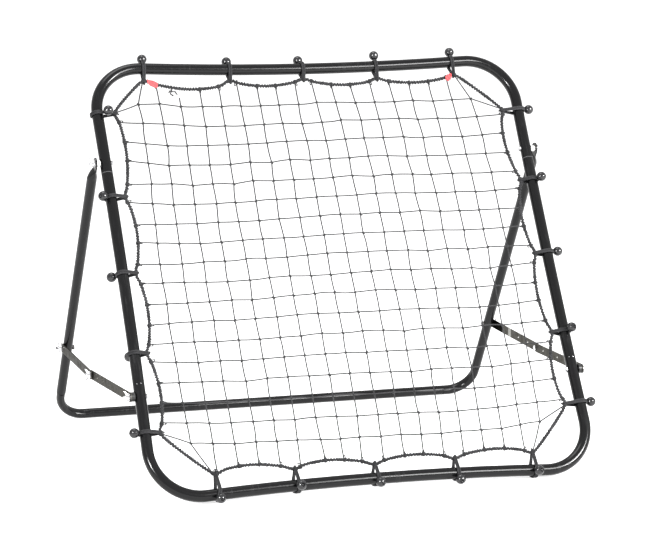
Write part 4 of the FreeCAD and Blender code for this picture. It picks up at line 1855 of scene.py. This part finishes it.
@dataclass
class CornerTags:
    """Two small cloth tags that hang from the rope beside the top corner ties."""

    plane: FramePlane
    height: float = 0.0180
    inset: float = 0.006
    rope_drop: float = 0.009
    rope_sag: float = 0.25
    overlap: float = 0.0012
    standoff: float = 0.0044
    kick: float = 0.0018
    ripple: float = 0.0010
    waves: tuple[tuple[float, float], ...] = ((3.1, 1.4), (7.3, 5.1))
    full_tear: float = 0.005
    taper: float = 0.03
    rounding: float = 0.72
    round_power: float = 2.4
    thickness: float = 0.0006
    columns: int = 15
    rows: int = 9

    def build(self, name: str, tie: Tie, way: int, width: float, ragged: float) -> bpy.types.Object:
        """Cut and hang one tag.

        Args:
            name: The tag's name.
            tie: The tie that it hangs beside.
            way: +1 to the tie's right and -1 to its left.
            width: Its width.
            ragged: How far its lower edge is torn, in metres.

        Returns:
            The tag.
        """
        seat = self.plane.seat(Side.TOP, tie.share)
        near = self.plane.inside(Side.TOP, tie) + seat.tangent * (way * self.inset)
        dice = random.Random(name)
        torn = [dice.uniform(0, ragged) for _ in range(self.columns)]
        crumple = ragged / self.full_tear
        points, faces, chart = [], [], []
        for row in range(self.rows):
            for column in range(self.columns):
                share = column / (self.columns - 1)
                across = share * 2 - 1
                down = row / (self.rows - 1)
                round_end = math.sqrt(max(0.0, 1 - abs(across) ** self.round_power * self.rounding))
                drop = down * (self.height * round_end - torn[column])
                sag = self.rope_drop * self.rope_sag * math.sin(math.pi * share)
                slant = self.rope_drop * share - sag - self.overlap
                edge = near + seat.tangent * (way * width * share) - seat.outward * slant
                place = edge - seat.outward * drop
                soft, sharp = (math.sin(across * a + down * b) for a, b in self.waves)
                curl = self.standoff + self.ripple * soft + self.kick * down**2
                curl += crumple * self.ripple * (1 + sharp)
                points.append((place.x - way * across * width * self.taper * down, place.y, curl))
                chart.append((across * width / 2, drop))
        for row in range(self.rows - 1):
            for column in range(self.columns - 1):
                a = row * self.columns + column
                faces.append((a, a + self.columns, a + self.columns + 1, a + 1))
        mesh = bpy.data.meshes.new(name)
        mesh.from_pydata(points, [], faces)
        layer = mesh.uv_layers.new(name="Lay")
        for loop in mesh.loops:
            layer.data[loop.index].uv = chart[loop.vertex_index]
        tag = Shop.link(mesh, name)
        Shop.face_out(tag)
        Shop.modify(tag, "SOLIDIFY", thickness=self.thickness, offset=0.0)
        Shop.modify(tag, "SUBSURF", levels=1, render_levels=1)
        Shop.round_off(tag)
        tag.data.transform(self.plane.standing())
        return tag


@dataclass
class SeamGlintDots:
    """Pairs of small bright zinc dots on the front of each side tube at its lower seam: painted
    highlights for the seam's two glints.
    """

    plane: FramePlane
    height: float = 0.2488
    radius: float = 0.0010
    rise: float = 0.0005
    facing: float = math.radians(9)
    spread: float = math.radians(21)

    def _glint_dot(self) -> bpy.types.Object:
        """A small domed bright dot with a dimple, from a short rod.

        Returns:
            The pattern piece, standing along +Z from the tube's surface.
        """
        Shop.clear()
        bpy.ops.mesh.primitive_cylinder_add(vertices=16, radius=self.radius, depth=self.rise * 2)
        glint_dot = bpy.context.object
        Shop.pick(glint_dot, lambda centre, normal: normal.z > 0.9)
        bpy.ops.mesh.bevel(offset=self.rise * 0.7, segments=3)
        Shop.done()
        top = self.rise - 1e-6
        Shop.pick(glint_dot, lambda centre, normal: normal.z > 0.9 and centre.z > top)
        bpy.ops.mesh.inset(thickness=self.radius * 0.18, depth=-self.rise * 0.25)
        Shop.done()
        Shop.smooth(glint_dot)
        return glint_dot

    def build(self, side: Side) -> bpy.types.Object:
        """Set the painted glint dots of one side.

        Args:
            side: Left or right.

        Returns:
            The pair.
        """
        pattern = self._glint_dot()
        share = (self.height - self.plane.height / 2) / self.plane.side_run
        seat = self.plane.seat(side, share)
        level = 1 if side is Side.RIGHT else -1
        pair = []
        for step in (-1, 1):
            angle = math.pi / 2 + level * (self.facing + step * self.spread)
            way = seat.outward * math.cos(angle) + FRONT * math.sin(angle)
            turn = FRONT.rotation_difference(way).to_matrix().to_4x4()
            place = Matrix.Translation(seat.centre + way * self.plane.tube_radius)
            pair.append(Shop.copy(pattern, "glint_dot", place @ turn))
        piece = Shop.join(pair, f"seam_glint_dots_{side.value}")
        piece.data.transform(self.plane.standing())
        Shop.drop(pattern)
        return piece


# Camera, light and floor


@dataclass(frozen=True)
class Viewpoint:
    """The camera, set to the photograph's view."""

    place: Place = (-1.8200, -5.3856, 1.4659)
    yaw: float = math.radians(18.668)
    pitch: float = math.radians(-10.736)
    roll: float = math.radians(0.730)
    lens: float = 145.65
    sensor: float = 36.0

    def build(self) -> None:
        """Place the camera and make it the scene's own."""
        cy, sy = math.cos(self.yaw), math.sin(self.yaw)
        cp, sp = math.cos(self.pitch), math.sin(self.pitch)
        ahead = Vector((sy * cp, cy * cp, sp))
        right = Vector((cy, -sy, 0))
        up = right.cross(ahead)
        cr, sr = math.cos(self.roll), math.sin(self.roll)
        across = right * cr + up * sr
        rise = up * cr - right * sr
        data = bpy.data.cameras.new("camera")
        data.lens = self.lens
        data.sensor_width = self.sensor
        data.sensor_fit = "HORIZONTAL"
        data.clip_end = 60.0
        camera = bpy.data.objects.new("camera", data)
        bpy.context.scene.collection.objects.link(camera)
        turn = Matrix((across, rise, -ahead)).transposed().to_4x4()
        camera.matrix_world = Matrix.Translation(self.place) @ turn
        bpy.context.scene.camera = camera
        bpy.context.scene.view_settings.view_transform = "Standard"


@dataclass(frozen=True)
class SoftLight:
    """One area light that faces a point."""

    name: str
    place: Place
    target: Place
    size: tuple[float, float]
    power: float

    def build(self) -> None:
        """Hang the light."""
        data = bpy.data.lights.new(self.name, "AREA")
        data.shape = "RECTANGLE"
        data.size, data.size_y = self.size
        data.energy = self.power
        lamp = bpy.data.objects.new(self.name, data)
        bpy.context.scene.collection.objects.link(lamp)
        way = Vector(self.target) - Vector(self.place)
        turn = way.to_track_quat("-Z", "Y").to_matrix().to_4x4()
        lamp.matrix_world = Matrix.Translation(self.place) @ turn


@dataclass(frozen=True)
class Studio:
    """Plain pale floor, white surround and soft lights."""

    floor_size: float = 40.0
    floor_tones: tuple[Colour, Colour] = ((0.64, 0.64, 0.64), (0.68, 0.68, 0.68))
    floor_dull: float = 0.9
    floor_glow: float = 0.55
    surround: float = 1.0
    lights: tuple[SoftLight, ...] = (
        SoftLight("band", (2.1, -4.4, 2.7), (0.2, 0.0, 0.5), (1.2, 1.6), 175.0),
        SoftLight("strip", (3.6, -3.9, 2.6), (0.3, 0.0, 0.8), (1.4, 1.2), 480.0),
        SoftLight("top", (-0.4, 0.6, 4.6), (0, 0, 0.4), (2.0, 2.0), 60.0),
        SoftLight("corner", (-3.6, -3.0, 1.9), (-0.4, -0.2, 0.6), (0.8, 0.8), 230.0),
    )

    def build(self) -> None:
        """Lay the floor, light the surround and hang the lights."""
        world = bpy.data.worlds.new("surround")
        world.use_nodes = True
        glow = world.node_tree.nodes["Background"].inputs
        glow[0].default_value = (1.0, 1.0, 1.0, 1.0)
        glow[1].default_value = self.surround
        bpy.context.scene.world = world
        Shop.clear()
        bpy.ops.mesh.primitive_plane_add(size=self.floor_size, location=(0, 0, 0))
        floor = bpy.context.object
        floor.name = "floor"
        bench = Bench("pale_floor")
        cloud = bench.noise(bench.place(), 0.6, 2.0)
        colour = bench.mix(cloud, *self.floor_tones)
        floor.data.materials.append(
            bench.finish(
                Base_Color=colour,
                Roughness=self.floor_dull,
                Emission_Color=(1.0, 1.0, 1.0),
                Emission_Strength=self.floor_glow,
            )
        )
        for light in self.lights:
            light.build()


def main() -> None:
    """Set the view, dress the solids, and build each soft and small piece in order."""
    logging.basicConfig(level=logging.INFO, format="%(name)s: %(message)s")
    Shop.clear()
    Viewpoint().build()
    Studio().build()
    paint = Paintbox()
    paint.dress_solids()
    plane = FramePlane()

    rope_work = BorderRope(plane)
    rope = rope_work.build()
    paint.hand_over(rope, "rope_cord", "front_frame", "border_rope")
    net = KnottedNet(plane, rope_work).build()
    paint.hand_over(net, "net_twine", "front_frame", "net")

    ball = ToggleBall().build()
    for side in Side:
        ties = BungeeTies(plane, side)
        cords = ties.build_cords()
        paint.hand_over(cords, "bungee_cord", "front_frame", "bungee_cords_" + side.value)
        balls = ties.build_balls(ball)
        paint.hand_over(balls, "ball_plastic", "front_frame", "bungee_balls_" + side.value)
    Shop.drop(ball)

    Fasteners(paint, WingNut()).build()
    # Bright dots at the lower seams: painted highlights standing in for the seam glints.
    glint_dots = SeamGlintDots(plane)
    for side in (Side.LEFT, Side.RIGHT):
        paint.hand_over(glint_dots.build(side), "bright_zinc", "front_frame")

    tags = CornerTags(plane)
    rows = (
        ("left_cloth_tag", "left_corner_tag", TIES[Side.TOP][0], 1, 0.024, 0.001),
        ("right_cloth_tag", "right_corner_tag", TIES[Side.TOP][-1], -1, 0.017, 0.005),
    )
    for name, node, tie, way, width, ragged in rows:
        tag = tags.build(name, tie, way, width, ragged)
        paint.hand_over(tag, "tag_cloth", "front_frame", node)
        flat_area = sum(face.area for face in tag.data.polygons) / 2
        min(flat_area, width * tags.height)


if __name__ == "__main__":
    main()
